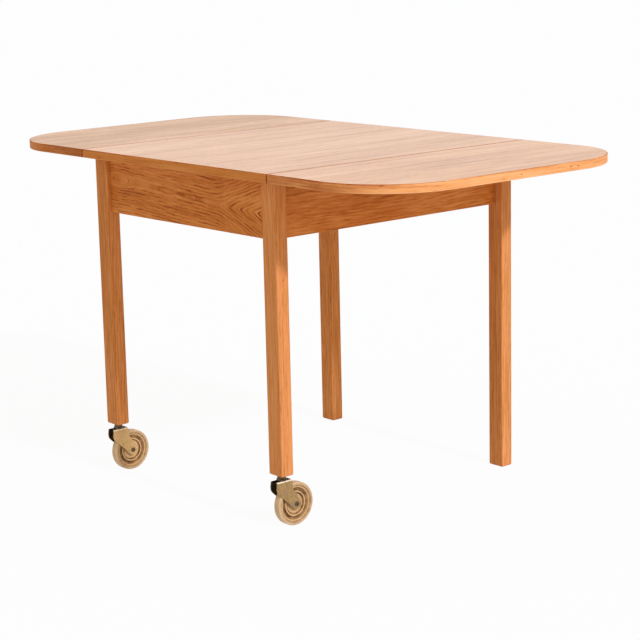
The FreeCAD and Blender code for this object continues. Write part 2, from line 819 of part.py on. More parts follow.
def axle():
    """Return the axle rivet with its two heads, hollow at both ends."""
    neck = axle_diameter / 2
    head = axle_head_diameter / 2
    end = fork_outer_half + axle_head
    dish = axle_recess_diameter / 2
    outline = []
    for face in (-1, 1):
        corners = [(0, end - axle_head / 2), (dish, end - axle_head / 2), (dish, end),
                   (head - axle_head / 2, end), (head, end - axle_head / 2),
                   (head, fork_outer_half), (neck, fork_outer_half)]
        ordered = corners if face < 0 else corners[::-1]
        outline += [vec(radius, face * place, 0) for radius, place in ordered]
    rivet = revolve_profile(outline, vec(0, 0, 0), vec(0, 1, 0))
    rivet.translate(vec(caster_trail, 0, axle_z))
    return rivet


def wheel_core():
    """Return the moulded wheel: hub, dished web with a raised ring, and rim."""
    bore = axle_diameter / 2 + axle_clearance + bush_wall
    half = wheel_width / 2
    rim = wheel_radius - tyre_thickness
    quarter = [(bore, half), (hub_radius, half), (hub_radius, web_half),
               (ring_inner_radius, web_half), (ring_inner_radius, ring_half),
               (ring_outer_radius, ring_half), (ring_outer_radius, web_half),
               (rim_inner_radius, web_half), (rim_inner_radius, rim_half), (rim, rim_half)]
    outline = [vec(radius, place, 0) for radius, place in quarter]
    outline += [vec(radius, -place, 0) for radius, place in quarter[::-1]]
    core = revolve_profile(outline, vec(0, 0, 0), vec(0, 1, 0))
    core.translate(vec(caster_trail, 0, axle_z))
    return core


def tyre():
    """Return the tyre band round the wheel, with chamfered shoulders."""
    rim = wheel_radius - tyre_thickness
    half = wheel_width / 2
    outline = [vec(rim, -half, 0), vec(wheel_radius - tyre_round, -half, 0),
               vec(wheel_radius, -half + tyre_round, 0), vec(wheel_radius, half - tyre_round, 0),
               vec(wheel_radius - tyre_round, half, 0), vec(rim, half, 0)]
    band = revolve_profile(outline, vec(0, 0, 0), vec(0, 1, 0))
    band.translate(vec(caster_trail, 0, axle_z))
    return band


def bush():
    """Return the hub bush that turns on the axle."""
    inner = axle_diameter / 2 + axle_clearance
    half = fork_inner_width / 2 - bush_end_clearance
    start = vec(caster_trail, -half, axle_z)
    end = vec(caster_trail, half, axle_z)
    margin = vec(0, overrun, 0)
    return rod(inner + bush_wall, start, end).cut(rod(inner, start.sub(margin), end.add(margin)))


def make_casters():
    """Make the pieces of both casters."""
    pieces = {"socket": socket(), "stem": stem(), "cup": cup(), "fork": fork(), "axle": axle(),
              "wheel": wheel_core(), "tyre": tyre(), "bush": bush()}
    for side_name, side in SIDES.items():
        for piece_name, shape in pieces.items():
            save("caster_%s_%s" % (piece_name, side_name), at_caster(shape, side))


def save(node, shape):
    """Write one node's shape to its own file."""
    shape.exportStep("parts/" + node + ".step")


def main():
    """Make every node of the table."""
    os.makedirs("parts", exist_ok=True)
    make_centre_top()
    for name, side in SIDES.items():
        make_leaf(name, side)
    make_dowels()
    make_legs()
    make_aprons()
    make_corner_blocks()
    make_hinges()
    make_knuckle_blocks()
    make_bracket_arms()
    make_casters()


main()
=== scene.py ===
"""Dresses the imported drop-leaf table: oak boards and legs, plated forks and moulded wheels.

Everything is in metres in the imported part's own frame: X runs along the seams with the casters
at -X, the right leaf lies at -Y, and Z is up.
"""
from __future__ import annotations

import logging
import math
from collections.abc import Iterable
from dataclasses import dataclass
from enum import Enum

import bmesh
import bpy
from mathutils import Matrix, Vector

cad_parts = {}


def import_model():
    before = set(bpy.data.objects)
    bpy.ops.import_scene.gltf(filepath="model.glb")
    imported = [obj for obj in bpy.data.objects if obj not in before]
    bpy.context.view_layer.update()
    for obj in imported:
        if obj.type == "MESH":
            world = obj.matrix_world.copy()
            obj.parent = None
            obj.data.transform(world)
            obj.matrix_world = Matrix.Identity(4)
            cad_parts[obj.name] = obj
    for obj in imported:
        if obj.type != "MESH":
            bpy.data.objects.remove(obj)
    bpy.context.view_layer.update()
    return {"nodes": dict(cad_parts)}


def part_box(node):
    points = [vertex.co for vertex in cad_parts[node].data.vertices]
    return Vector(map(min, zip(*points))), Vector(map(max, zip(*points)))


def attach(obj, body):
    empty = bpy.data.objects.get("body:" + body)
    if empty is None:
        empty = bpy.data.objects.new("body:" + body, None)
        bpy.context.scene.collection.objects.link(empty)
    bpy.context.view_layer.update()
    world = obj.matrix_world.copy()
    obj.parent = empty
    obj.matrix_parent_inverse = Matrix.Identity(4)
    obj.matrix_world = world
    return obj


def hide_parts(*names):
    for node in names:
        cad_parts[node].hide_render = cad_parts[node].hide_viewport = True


Triple = tuple[float, float, float]
Colour = Triple
Tones = tuple[Colour, Colour, Colour]
Flat = tuple[float, float]
Stops = tuple[Flat, ...]

LOG = logging.getLogger("drop_leaf_table")
MM = 0.001
WELD = MM / 1000
TOUCH = MM / 100
WHITE = (255, 255, 255)


class Grain(Enum):
    """Which frame axes run along the fibres, across the shown face and into the wood."""

    ALONG_X_FACE_Z = "XYZ"
    ALONG_X_FACE_Y = "XZY"
    ALONG_Y_FACE_X = "YZX"
    ALONG_Z_FACE_X = "ZYX"
    ALONG_STRIP = "UV"


class Side(Enum):
    """The two long sides of the table and their sign along Y."""

    RIGHT = -1
    LEFT = 1

    @property
    def label(self) -> str:
        """Return the side's name as the nodes and bodies spell it."""
        return self.name.lower()


class ForkFace(Enum):
    """The fork's outer faces by the slot of their finish: the inner face has the next slot, which
    holds the dark finish as painted shade.
    """

    CHEEK = 0
    WEB = 1
    FOLD = 3


def linear(colour: Colour) -> tuple[float, float, float, float]:
    """Turn a display colour given in 0 to 255 into the linear values that a shader takes.

    Args:
        colour: Red, green and blue as seen on screen, 0 to 255.

    Returns:
        Linear red, green and blue with an alpha of 1.
    """
    parts = []
    for value in colour:
        share = value / 255
        parts.append(share / 12.92 if share <= 0.04045 else ((share + 0.055) / 1.055) ** 2.4)
    return (parts[0], parts[1], parts[2], 1.0)


@dataclass(frozen=True)
class Noise:
    """Noise by its changes per metre along three axes and its octaves of finer noise."""

    rates: Triple
    detail: float = 2.0


@dataclass
class NodeKit:
    """Short calls that add and join the shader nodes of one material or room."""

    owner: bpy.types.Material | bpy.types.World

    @classmethod
    def fresh(cls, owner: bpy.types.Material | bpy.types.World) -> "NodeKit":
        """Clear the nodes that a new material or room comes with.

        Args:
            owner: The new material or room.

        Returns:
            A kit for it.
        """
        owner.use_nodes = True
        owner.node_tree.nodes.clear()
        return cls(owner)

    @classmethod
    def material(cls, name: str) -> "NodeKit":
        """Return a kit for a new material."""
        return cls.fresh(bpy.data.materials.new(name))

    def add(self, kind: str, **settings: object) -> bpy.types.Node:
        """Add a node and set its plain properties.

        Args:
            kind: The node's type name.
            settings: Properties of the node by name.

        Returns:
            The new node.
        """
        node = self.owner.node_tree.nodes.new(kind)
        for name, value in settings.items():
            setattr(node, name, value)
        return node

    def feed(self, socket: bpy.types.NodeSocket, value: object) -> None:
        """Link an output socket, or set a plain value, on an input socket.

        Args:
            socket: The input socket.
            value: An output socket or a plain value.
        """
        if isinstance(value, bpy.types.NodeSocket):
            self.owner.node_tree.links.new(value, socket)
        else:
            socket.default_value = value

    def math(self, operation: str, first: object, second: object = 0.0,
             clamp: bool = False) -> bpy.types.NodeSocket:
        """Add a math node.

        Args:
            operation: The math node's operation.
            first: A socket or number.
            second: A socket or number.
            clamp: Whether the result stays within 0 and 1.

        Returns:
            The result's socket.
        """
        node = self.add("ShaderNodeMath", operation=operation, use_clamp=clamp)
        self.feed(node.inputs[0], first)
        self.feed(node.inputs[1], second)
        return node.outputs[0]

    def vector(self, operation: str, first: object, second: object = (0.0, 0.0, 0.0),
               result: str = "Vector") -> bpy.types.NodeSocket:
        """Add a vector math node.

        Args:
            operation: The vector math node's operation.
            first: A socket or three numbers.
            second: A socket or three numbers.
            result: The wanted output, Vector or Value.

        Returns:
            The result's socket.
        """
        node = self.add("ShaderNodeVectorMath", operation=operation)
        self.feed(node.inputs[0], first)
        self.feed(node.inputs[1], second)
        return node.outputs[result]

    def total(self, *terms: object) -> bpy.types.NodeSocket:
        """Return the sum of sockets and numbers."""
        return self._chain("ADD", terms)

    def product(self, *factors: object) -> bpy.types.NodeSocket:
        """Return the product of sockets and numbers."""
        return self._chain("MULTIPLY", factors)

    def _chain(self, operation: str, values: tuple[object, ...]) -> bpy.types.NodeSocket:
        """Join values one after the other by the same operation.

        Args:
            operation: The math node's operation.
            values: Sockets and numbers, at least two.

        Returns:
            The last result's socket.
        """
        result = values[0]
        for value in values[1:]:
            result = self.math(operation, result, value)
        return result

    def place(self, source: str = "Object") -> bpy.types.NodeSocket:
        """Return a point's coordinates in metres, in the frame or along a strip."""
        return self.add("ShaderNodeTexCoord").outputs[source]

    def split(self, position: bpy.types.NodeSocket) -> bpy.types.NodeOutputs:
        """Take coordinates apart.

        Args:
            position: The coordinates.

        Returns:
            The sockets of the three coordinates.
        """
        node = self.add("ShaderNodeSeparateXYZ")
        self.feed(node.inputs[0], position)
        return node.outputs

    def join(self, values: Iterable[bpy.types.NodeSocket]) -> bpy.types.NodeSocket:
        """Put coordinates together.

        Args:
            values: The sockets of the three coordinates.

        Returns:
            The coordinates' socket.
        """
        node = self.add("ShaderNodeCombineXYZ")
        for socket, value in zip(node.inputs, values):
            self.feed(socket, value)
        return node.outputs[0]

    def noise(self, position: bpy.types.NodeSocket, kind: Noise) -> bpy.types.NodeSocket:
        """Add noise that varies at its own rate along each axis.

        Args:
            position: Coordinates in metres.
            kind: The noise's rates and detail.

        Returns:
            The noise as a value near 0, from about -0.5 to 0.5.
        """
        noise = self.add("ShaderNodeTexNoise")
        self.feed(noise.inputs["Vector"], self.vector("MULTIPLY", position, kind.rates))
        self.feed(noise.inputs["Scale"], 1.0)
        self.feed(noise.inputs["Detail"], kind.detail)
        return self.math("SUBTRACT", noise.outputs[0], 0.5)

    def curve(self, value: object, stops: Iterable[Flat]) -> bpy.types.NodeSocket:
        """Map a value through straight pieces between stops of place and height."""
        return self.ramp(value, [(place, (high, high, high, 1.0)) for place, high in stops])

    def ramp(self, value: object,
             stops: list[tuple[float, tuple[float, float, float, float]]]
             ) -> bpy.types.NodeSocket:
        """Map a value to a colour through a ramp.

        Args:
            value: A socket or number.
            stops: Places from 0 to 1 with their linear colours.

        Returns:
            The colour's socket.
        """
        node = self.add("ShaderNodeValToRGB")
        elements = node.color_ramp.elements
        while len(elements) < len(stops):
            elements.new(0.5)
        for element, (place, colour) in zip(elements, stops):
            element.position = place
            element.color = colour
        self.feed(node.inputs[0], value)
        return node.outputs[0]

    def bump(self, height: bpy.types.NodeSocket, depth: float) -> bpy.types.NodeSocket:
        """Bend the surface's direction by a relief.

        Args:
            height: The relief, 0 to 1.
            depth: The relief's depth in metres.

        Returns:
            The direction's socket.
        """
        node = self.add("ShaderNodeBump")
        for name, value in (("Strength", 1.0), ("Distance", depth), ("Height", height)):
            self.feed(node.inputs[name], value)
        return node.outputs[0]

    def surface(self, **inputs: object) -> bpy.types.Material:
        """Finish the material with a surface shader.

        Args:
            inputs: Sockets or values by input name, with _ for a space.

        Returns:
            The material.
        """
        shader = self.add("ShaderNodeBsdfPrincipled")
        for name, value in inputs.items():
            self.feed(shader.inputs[name.replace("_", " ")], value)
        self._end("ShaderNodeOutputMaterial", shader)
        return self.owner

    def _end(self, kind: str, shader: bpy.types.Node) -> None:
        """Join a shader to the output node."""
        self.feed(self.add(kind).inputs["Surface"], shader.outputs[0])

    def plain(self, kind: str, colour: Colour, strength: float | None = None) -> bpy.types.Node:
        """Add a shader of one colour.

        Args:
            kind: The shader node's type name.
            colour: Its linear colour.
            strength: How strongly it glows, if it is of a kind that does.

        Returns:
            The shader node.
        """
        node = self.add(kind)
        self.feed(node.inputs["Color"], (*colour, 1.0))
        if strength is not None:
            self.feed(node.inputs["Strength"], strength)
        return node

    def shown_apart(self, unseen: bpy.types.Node, seen: bpy.types.Node, share: float,
                    output: str) -> None:
        """Show one shader to the camera, also in reflections, and light the scene by another.

        Args:
            unseen: The shader that lights the scene.
            seen: The shader that the camera meets.
            share: How much of the seen one shows there.
            output: The output node's type name.
        """
        path = self.add("ShaderNodeLightPath")
        met = path.outputs["Is Camera Ray"]
        for kind in ("Is Glossy Ray", "Is Transmission Ray"):
            met = self.math("MAXIMUM", met, path.outputs[kind])
        mix = self.add("ShaderNodeMixShader")
        values = (self.product(met, share), unseen.outputs[0], seen.outputs[0])
        for socket, value in zip(mix.inputs, values):
            self.feed(socket, value)
        self._end(output, mix)


@dataclass(frozen=True)
class Knot:
    """A swirl in the figure: its centre along and across the grain, its reach and its rings."""

    along: float
    across: float
    reach_along: float
    reach_across: float
    rings: float


@dataclass(frozen=True)
class Flame:
    """Pointed arches in the figure: where the first has its tip, which way they open, how wide."""

    tip: float
    opens: int
    slope: float
    tip_round: float = 12 * MM


@dataclass(frozen=True)
class Vein:
    """A dark streak or speck, or a bright one where its strength is below 0: real streaks and
    specks, and also lines of painted shade and a painted highlight.

    It lies at a place across the grain, between two ends along it, with a half-width.
    """

    across: float
    start: float
    end: float
    half_width: float
    strength: float
    wander: float = 22 * MM
    axis: int = 1


@dataclass(frozen=True)
class WoodFinish:
    """An oiled timber or veneer whose growth rings are cut from a tapering log."""

    name: str
    grain: Grain
    pale: Colour
    middle: Colour
    dark: Colour
    ring_spacing: float = 4.5 * MM
    heart_across: float = 0.0
    heart_slope: float = 0.0
    heart_round: float = 10 * MM
    flames: tuple[Flame, ...] = ()
    knots: tuple[Knot, ...] = ()
    veins: tuple[Vein, ...] = ()
    warp: float = 9 * MM
    ring_share: float = 0.35
    fibre_share: float = 0.8
    fibre_rate: float = 10.0
    broad_share: float = 0.7
    pore_share: float = 0.3
    streak_share: float = 0.0
    roughness: float = 0.5
    gloss: float = 0.08
    lacquer: float = 0.0
    lacquer_roughness: float = 0.16
    pore_depth: float = 0.06 * MM
    # A seam's place, how far from it the walls get painted shade, and the colour of that painted
    # shade.
    seam_centre: float = 0.0
    seam_reach: float = 1.9 * MM
    seam_painted_shade: Colour = (216, 168, 120)
    lean: float = 0.0
    speck: Colour = (84, 38, 12)
    tone_places: tuple[float, ...] = (0.08, 0.4, 0.8, 1.0)
    tone_scale: float = 0.8
    mean_ring: float = 0.28
    ring_stops: Stops = ((0.0, 0.25), (0.35, 0.0), (0.75, 0.5), (0.9, 1.0), (1.0, 0.25))
    ring_breaks: Noise = Noise((45, 480, 480), 1.0)
    ring_break_stops: Stops = ((0.0, 0.0), (0.12, 1.0))
    ring_gap: float = 0.25
    ring_boldness: Noise = Noise((5, 90, 30), 1.0)
    bold_mean: float = 0.55
    bold_contrast: float = 1.6
    fibre_cross_rate: float = 300
    fibre_detail: float = 3.0
    broad_tone: Noise = Noise((2.2, 22, 22))
    pores: Noise = Noise((60, 750, 750), 1.0)
    pore_stops: Stops = ((0.07, 0.0), (0.16, 1.0))
    streaks: Noise = Noise((1.6, 75, 9), 1.0)
    streak_stops: Stops = ((0.1, 0.0), (0.17, 1.0))
    slow_warp: Noise = Noise((4, 16, 16))
    fine_warp: Noise = Noise((45, 150, 150), 4.0)
    fine_warp_part: float = 3
    vein_wander: Noise = Noise((9, 0.1, 0.1), 3.0)
    vein_edge: Noise = Noise((30, 500, 500))

    def build(self) -> bpy.types.Material:
        """Make the material.

        Returns:
            The finished wood material.
        """
        kit = NodeKit.material(self.name)
        position = self._position(kit)
        parts = kit.split(position)
        phase = self._phase(kit, position, parts)
        figure = kit.join((parts[0], kit.product(phase, self.ring_spacing), parts[2]))
        rings = self._rings(kit, figure, phase)
        pores = kit.curve(kit.noise(figure, self.pores), self.pore_stops)
        fibres = Noise((self.fibre_rate, self.fibre_cross_rate, self.fibre_cross_rate),
                       self.fibre_detail)
        shares = ((kit.math("SUBTRACT", rings, self.mean_ring), self.ring_share),
                  (kit.noise(figure, fibres), self.fibre_share),
                  (kit.noise(position, self.broad_tone), self.broad_share),
                  (pores, self.pore_share),
                  (kit.curve(kit.noise(figure, self.streaks), self.streak_stops),
                   self.streak_share))
        tone = kit.total(0.5, *[kit.product(value, share) for value, share in shares],
                         *[self._vein(kit, vein, position, parts) for vein in self.veins])
        shades = zip(self.tone_places, (self.pale, self.middle, self.dark, self.speck))
        colour = kit.ramp(kit.product(tone, self.tone_scale),
                          [(place, linear(shade)) for place, shade in shades])
        # Painted shade on the walls of a seam gap.
        if self.seam_centre:
            colour = self._paint_seam_shade(kit, colour)
        relief = kit.product(kit.total(pores, rings), -0.5)
        return kit.surface(Base_Color=colour, Roughness=self.roughness,
                           Specular_IOR_Level=self.gloss, Coat_Weight=self.lacquer,
                           Coat_Roughness=self.lacquer_roughness,
                           Normal=kit.bump(relief, self.pore_depth))

    def _position(self, kit: NodeKit) -> bpy.types.NodeSocket:
        """Turn the frame's coordinates to the grain.

        Args:
            kit: The material's node kit.

        Returns:
            Coordinates in metres: along the fibres, across the face, into the wood.
        """
        if self.grain is Grain.ALONG_STRIP:
            return kit.place("UV")
        axes = kit.split(kit.place())
        return kit.join(axes[axis] for axis in self.grain.value)

    def _phase(self, kit: NodeKit, position: bpy.types.NodeSocket,
               parts: bpy.types.NodeOutputs) -> bpy.types.NodeSocket:
        """Count the growth rings between the heart and each point of the face.

        Args:
            kit: The material's node kit.
            position: Coordinates turned to the grain.
            parts: The same coordinates one by one.

        Returns:
            The number of rings.
        """
        along, across, inward = parts
        slow = kit.product(kit.noise(position, self.slow_warp), self.warp)
        fine = kit.product(kit.noise(position, self.fine_warp), self.warp / self.fine_warp_part)
        slope = kit.product(along, -self.heart_slope)
        lean = kit.product(inward, self.lean)
        sideways = kit.total(across, -self.heart_across, slope, lean, slow, fine)
        squares = kit.total(kit.product(sideways, sideways), self.heart_round ** 2)
        reach = kit.math("SQRT", squares)
        for flame in self.flames:
            reach = kit.math("SUBTRACT", reach, self._opening(kit, flame, along))
        phase = kit.math("DIVIDE", reach, self.ring_spacing)
        for knot in self.knots:
            phase = kit.total(phase, self._swirl(kit, knot, along, across))
        return phase

    def _rings(self, kit: NodeKit, figure: bpy.types.NodeSocket,
               phase: bpy.types.NodeSocket) -> bpy.types.NodeSocket:
        """Draw the growth rings, which break into dashes and are bolder in places.

        Args:
            kit: The material's node kit.
            figure: Coordinates along the fibres and through the rings.
            phase: The number of rings from the heart.

        Returns:
            The rings, 0 in early wood and 1 in the dark late wood.
        """
        rings = kit.curve(kit.math("FRACT", phase), self.ring_stops)
        dashes = kit.curve(kit.noise(figure, self.ring_breaks), self.ring_break_stops)
        bold = kit.math("MULTIPLY", kit.total(self.bold_mean,
                                              kit.noise(figure, self.ring_boldness)),
                        self.bold_contrast, clamp=True)
        broken = kit.total(self.ring_gap, kit.product(dashes, 1 - self.ring_gap))
        return kit.product(rings, broken, bold)

    @staticmethod
    def _opening(kit: NodeKit, flame: Flame,
                 along: bpy.types.NodeSocket) -> bpy.types.NodeSocket:
        """Open a flame's arches.

        Args:
            kit: The material's node kit.
            flame: The flame.
            along: The place along the fibres.

        Returns:
            How far the arches have opened there, which is about 0 before the tip.
        """
        beyond = kit.product(kit.math("SUBTRACT", along, flame.tip), flame.opens)
        length = kit.math("SQRT", kit.total(kit.product(beyond, beyond), flame.tip_round ** 2))
        return kit.product(kit.total(beyond, length), flame.slope / 2)

    @staticmethod
    def _swirl(kit: NodeKit, knot: Knot, along: bpy.types.NodeSocket,
               across: bpy.types.NodeSocket) -> bpy.types.NodeSocket:
        """Close rings round a knot.

        Args:
            kit: The material's node kit.
            knot: The knot.
            along: The place along the fibres.
            across: The place across them.

        Returns:
            The rings that the knot adds.
        """
        terms = []
        for value, centre, reach in ((along, knot.along, knot.reach_along),
                                     (across, knot.across, knot.reach_across)):
            offset = kit.math("DIVIDE", kit.math("SUBTRACT", value, centre), reach)
            terms.append(kit.product(offset, offset))
        bell = kit.math("EXPONENT", kit.product(kit.total(*terms), -1.0))
        return kit.product(bell, knot.rings)

    def _vein(self, kit: NodeKit, vein: Vein, position: bpy.types.NodeSocket,
              parts: bpy.types.NodeOutputs) -> bpy.types.NodeSocket:
        """Draw one streak, which wanders and fades at its ends.

        Args:
            kit: The material's node kit.
            vein: The streak or speck.
            position: Coordinates turned to the grain.
            parts: The same coordinates one by one.

        Returns:
            The darkening that it adds.
        """
        wander = kit.product(kit.noise(position, self.vein_wander), vein.wander)
        ragged = kit.total(1.0, kit.noise(position, self.vein_edge))
        aside = kit.total(parts[vein.axis], -vein.across, wander)
        beside = kit.math("DIVIDE", kit.math("ABSOLUTE", aside), vein.half_width)
        core = kit.math("SUBTRACT", ragged, beside, clamp=True)
        middle = (vein.start + vein.end) / 2
        reach = abs(vein.end - vein.start) / 2
        away = kit.math("DIVIDE", kit.math("SUBTRACT", parts[0], middle), reach)
        fade = kit.math("SUBTRACT", 1.0, kit.product(away, away), clamp=True)
        return kit.product(core, fade, vein.strength)

    def _paint_seam_shade(self, kit: NodeKit, colour: bpy.types.NodeSocket) -> bpy.types.NodeSocket:
        """Paint shade on the walls that face each other across a seam, where the gap lies in
        shadow.

        Args:
            kit: The material's node kit.
            colour: The wood's colour.

        Returns:
            The colour with painted shade on the walls.
        """
        beside = kit.math("ABSOLUTE", kit.split(kit.place())["Y"])
        away = kit.math("ABSOLUTE", kit.math("SUBTRACT", beside, self.seam_centre))
        near = kit.math("LESS_THAN", away, self.seam_reach)
        wall_shade = kit.ramp(near, [(0.0, linear(WHITE)), (1.0, linear(self.seam_painted_shade))])
        return kit.vector("MULTIPLY", colour, wall_shade)


@dataclass(frozen=True)
class MetalFinish:
    """Sheet or bar metal with a faintly mottled, in places tarnished plating."""

    name: str
    colour: Colour
    worn: Colour
    roughness: float = 0.35
    metallic: float = 1.0
    tarnish: Colour | None = None
    mottle: Noise = Noise((260, 260, 260), 3.0)
    mottle_places: Flat = (0.3, 0.8)
    cloud: Noise = Noise((75, 75, 75))
    cloud_stops: Stops = ((0.0, 0.0), (0.25, 0.9))
    scratches: Noise = Noise((500, 2400, 2400))
    scratch_share: float = 0.2
    scratch_depth: float = 0.01 * MM

    def build(self) -> bpy.types.Material:
        """Make the material.

        Returns:
            The finished metal material.
        """
        kit = NodeKit.material(self.name)
        position = kit.place()
        mottle = kit.total(kit.noise(position, self.mottle), 0.5)
        shades = zip(self.mottle_places, (self.colour, self.worn))
        colour = kit.ramp(mottle, [(place, linear(shade)) for place, shade in shades])
        if self.tarnish:
            cloud = kit.curve(kit.noise(position, self.cloud), self.cloud_stops)
            blend = kit.add("ShaderNodeMixRGB")
            for socket, value in zip(blend.inputs, (cloud, colour, linear(self.tarnish))):
                kit.feed(socket, value)
            colour = blend.outputs[0]
        scratches = kit.total(kit.noise(position, self.scratches), 0.5)
        rough = kit.total(kit.product(scratches, self.scratch_share),
                          self.roughness - self.scratch_share / 2)
        return kit.surface(Base_Color=colour, Metallic=self.metallic, Roughness=rough,
                           Normal=kit.bump(scratches, self.scratch_depth))


@dataclass(frozen=True)
class WheelFinish:
    """Moulded plastic with painted shade and dirt in its grooves, by bands of distance in mm and
    of darkness.
    """

    name: str
    axle: Vector
    light: Colour
    groove_shade_and_dirt: Colour
    bands: Stops
    roughness: float
    gloss: float = 0.3
    cloud: Noise = Noise((90, 90, 90), 3.0)
    cloud_share: float = 0.35
    shade_and_dirt_share: float = 0.95
    shade_and_dirt_contrast: float = 1.2
    grit: Noise = Noise((1500, 1500, 1500), 1.0)
    grit_depth: float = 0.01 * MM

    def build(self) -> bpy.types.Material:
        """Make the material.

        Returns:
            The finished plastic material.
        """
        kit = NodeKit.material(self.name)
        position = kit.place()
        offset = kit.vector("SUBTRACT", position, self.axle)
        level = kit.vector("MULTIPLY", offset, (1, 0, 1))
        distance = kit.vector("LENGTH", level, result="Value")
        reach = self.bands[-1][0]
        # Painted shade and dirt, by bands of distance from the axle.
        shade_and_dirt = kit.curve(kit.math("DIVIDE", distance, reach * MM),
                         [(place / reach, depth) for place, depth in self.bands])
        cloud = kit.noise(position, self.cloud)
        shade_and_dirt_patches = kit.product(shade_and_dirt, kit.total(self.shade_and_dirt_share,
                                              kit.product(cloud, self.shade_and_dirt_contrast)))
        tone = kit.math("ADD", shade_and_dirt_patches, kit.product(cloud, self.cloud_share), clamp=True)
        colour = kit.ramp(tone, [(0.0, linear(self.light)), (1.0, linear(self.groove_shade_and_dirt))])
        grit = kit.total(kit.noise(position, self.grit), 0.5)
        return kit.surface(Base_Color=colour, Roughness=self.roughness,
                           Specular_IOR_Level=self.gloss,
                           Normal=kit.bump(grit, self.grit_depth))


def make_object(name: str, shape: bmesh.types.BMesh, finish: bpy.types.Material,
                smooth_below: float = 35.0) -> bpy.types.Object:
    """Turn a finished bmesh into a scene object.

    Args:
        name: The piece's name.
        shape: The mesh, which is freed.
        finish: The piece's material.
        smooth_below: Faces that meet at less than this many degrees are shaded as one.

    Returns:
        The new object.
    """
    bmesh.ops.remove_doubles(shape, verts=shape.verts, dist=WELD)
    bmesh.ops.recalc_face_normals(shape, faces=shape.faces)
    limit = math.radians(smooth_below)
    for face in shape.faces:
        face.smooth = True
    for edge in shape.edges:
        edge.smooth = len(edge.link_faces) == 2 and edge.calc_face_angle() < limit
    mesh = bpy.data.meshes.new(name)
    shape.to_mesh(mesh)
    shape.free()
    mesh.materials.append(finish)
    made = bpy.data.objects.new(name, mesh)
    bpy.context.scene.collection.objects.link(made)
    return made


def settle(piece: bpy.types.Object, body: str, node: str) -> None:
    """Put a piece on its body, and hide the node that it stands for.

    Args:
        piece: The object.
        body: The body it moves with.
        node: The CAD node that it replaces.
    """
    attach(piece, body)
    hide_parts(node)
    LOG.info("%s rides on %s", piece.name, body)


def dress(node: bpy.types.Object, finish: bpy.types.Material) -> None:
    """Give a node that keeps its CAD shape a finish.

    Args:
        node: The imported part's node.
        finish: Its material.
    """
    node.data.materials.clear()
    node.data.materials.append(finish)
    LOG.info("%s keeps its CAD shape", node.name)


def soften(piece: bpy.types.Object, width: float, steps: int = 3, limit: float = 30.0) -> None:
    """Round the sharp edges of a piece.

    Args:
        piece: The object.
        width: Width of the rounding in metres.
        steps: Facets across the rounding.
        limit: Edges sharper than this many degrees are rounded.
    """
    bevel = piece.modifiers.new("arris", "BEVEL")
    bevel.width = width
    bevel.segments = steps
    bevel.limit_method = "ANGLE"
    bevel.angle_limit = math.radians(limit)
    bevel.harden_normals = True


def round_edges(shape: bmesh.types.BMesh, edges: list[bmesh.types.BMEdge], width: float,
                steps: int) -> None:
    """Round chosen edges of a mesh.

    Args:
        shape: The mesh.
        edges: The edges.
        width: Width of the rounding in metres.
        steps: Facets across the rounding.
    """
    bmesh.ops.bevel(shape, geom=edges, offset=width, segments=steps, profile=0.5,
                    affect="EDGES")


def block_mesh(low: Vector, high: Vector) -> bmesh.types.BMesh:
    """Make a board between two corners.

    Args:
        low: Its lowest corner.
        high: Its highest corner.

    Returns:
        The mesh.
    """
    shape = bmesh.new()
    size = high - low
    place = Matrix.Translation((low + high) / 2) @ Matrix.Diagonal((*size, 1.0))
    bmesh.ops.create_cube(shape, size=1.0, matrix=place)
    return shape


def prism_mesh(outline: list[Vector], along: Vector) -> bmesh.types.BMesh:
    """Make a closed prism.

    Args:
        outline: Corner points of one end, in order.
        along: From that end to the other.

    Returns:
        The mesh.
    """
    shape = bmesh.new()
    first = [shape.verts.new(point) for point in outline]
    second = [shape.verts.new(point + along) for point in outline]
    shape.faces.new(first[::-1])
    shape.faces.new(second)
    count = len(outline)
    for index in range(count):
        after = (index + 1) % count
        shape.faces.new((first[index], first[after], second[after], second[index]))
    return shape


def lathe_mesh(profile: list[Flat], centre: Vector, steps: int = 96,
               closed: bool = True) -> bmesh.types.BMesh:
    """Turn a profile on an axis along Y.

    Args:
        profile: Points of distance from the axis and place along it.
        centre: The point on the axis that places are counted from.
        steps: Facets in a full turn.
        closed: Whether the last point joins the first.

    Returns:
        The mesh.
    """
    shape = bmesh.new()
    rows = []
    for step in range(steps):
        turn = 2 * math.pi * step / steps
        out = Vector((math.cos(turn), 0, -math.sin(turn)))
        rows.append([shape.verts.new(centre + out * radius + Vector((0, place, 0)))
                     for radius, place in profile])
    count = len(profile)
    last = count if closed else count - 1
    for step in range(steps):
        row, following = rows[step], rows[(step + 1) % steps]
        for index in range(last):
            after = (index + 1) % count
            corners = [row[index], row[after], following[after], following[index]]
            distinct = [corner for place, corner in enumerate(corners)
                        if all((corner.co - earlier.co).length > WELD
                               for earlier in corners[:place])]
            if len(distinct) > 2:
                shape.faces.new(distinct)
    return shape


def arc(centre: Flat, radius: float, start: float, end: float, steps: int) -> list[Flat]:
    """Return points along an arc.

    Args:
        centre: Centre of the arc.
        radius: Its radius.
        start: Angle of the first point in degrees.
        end: Angle of the last point in degrees.
        steps: Number of equal steps.

    Returns:
        The points, both ends included.
    """
    points = []
    for step in range(steps + 1):
        turn = math.radians(start + (end - start) * step / steps)
        points.append((centre[0] + radius * math.cos(turn), centre[1] + radius * math.sin(turn)))
    return points


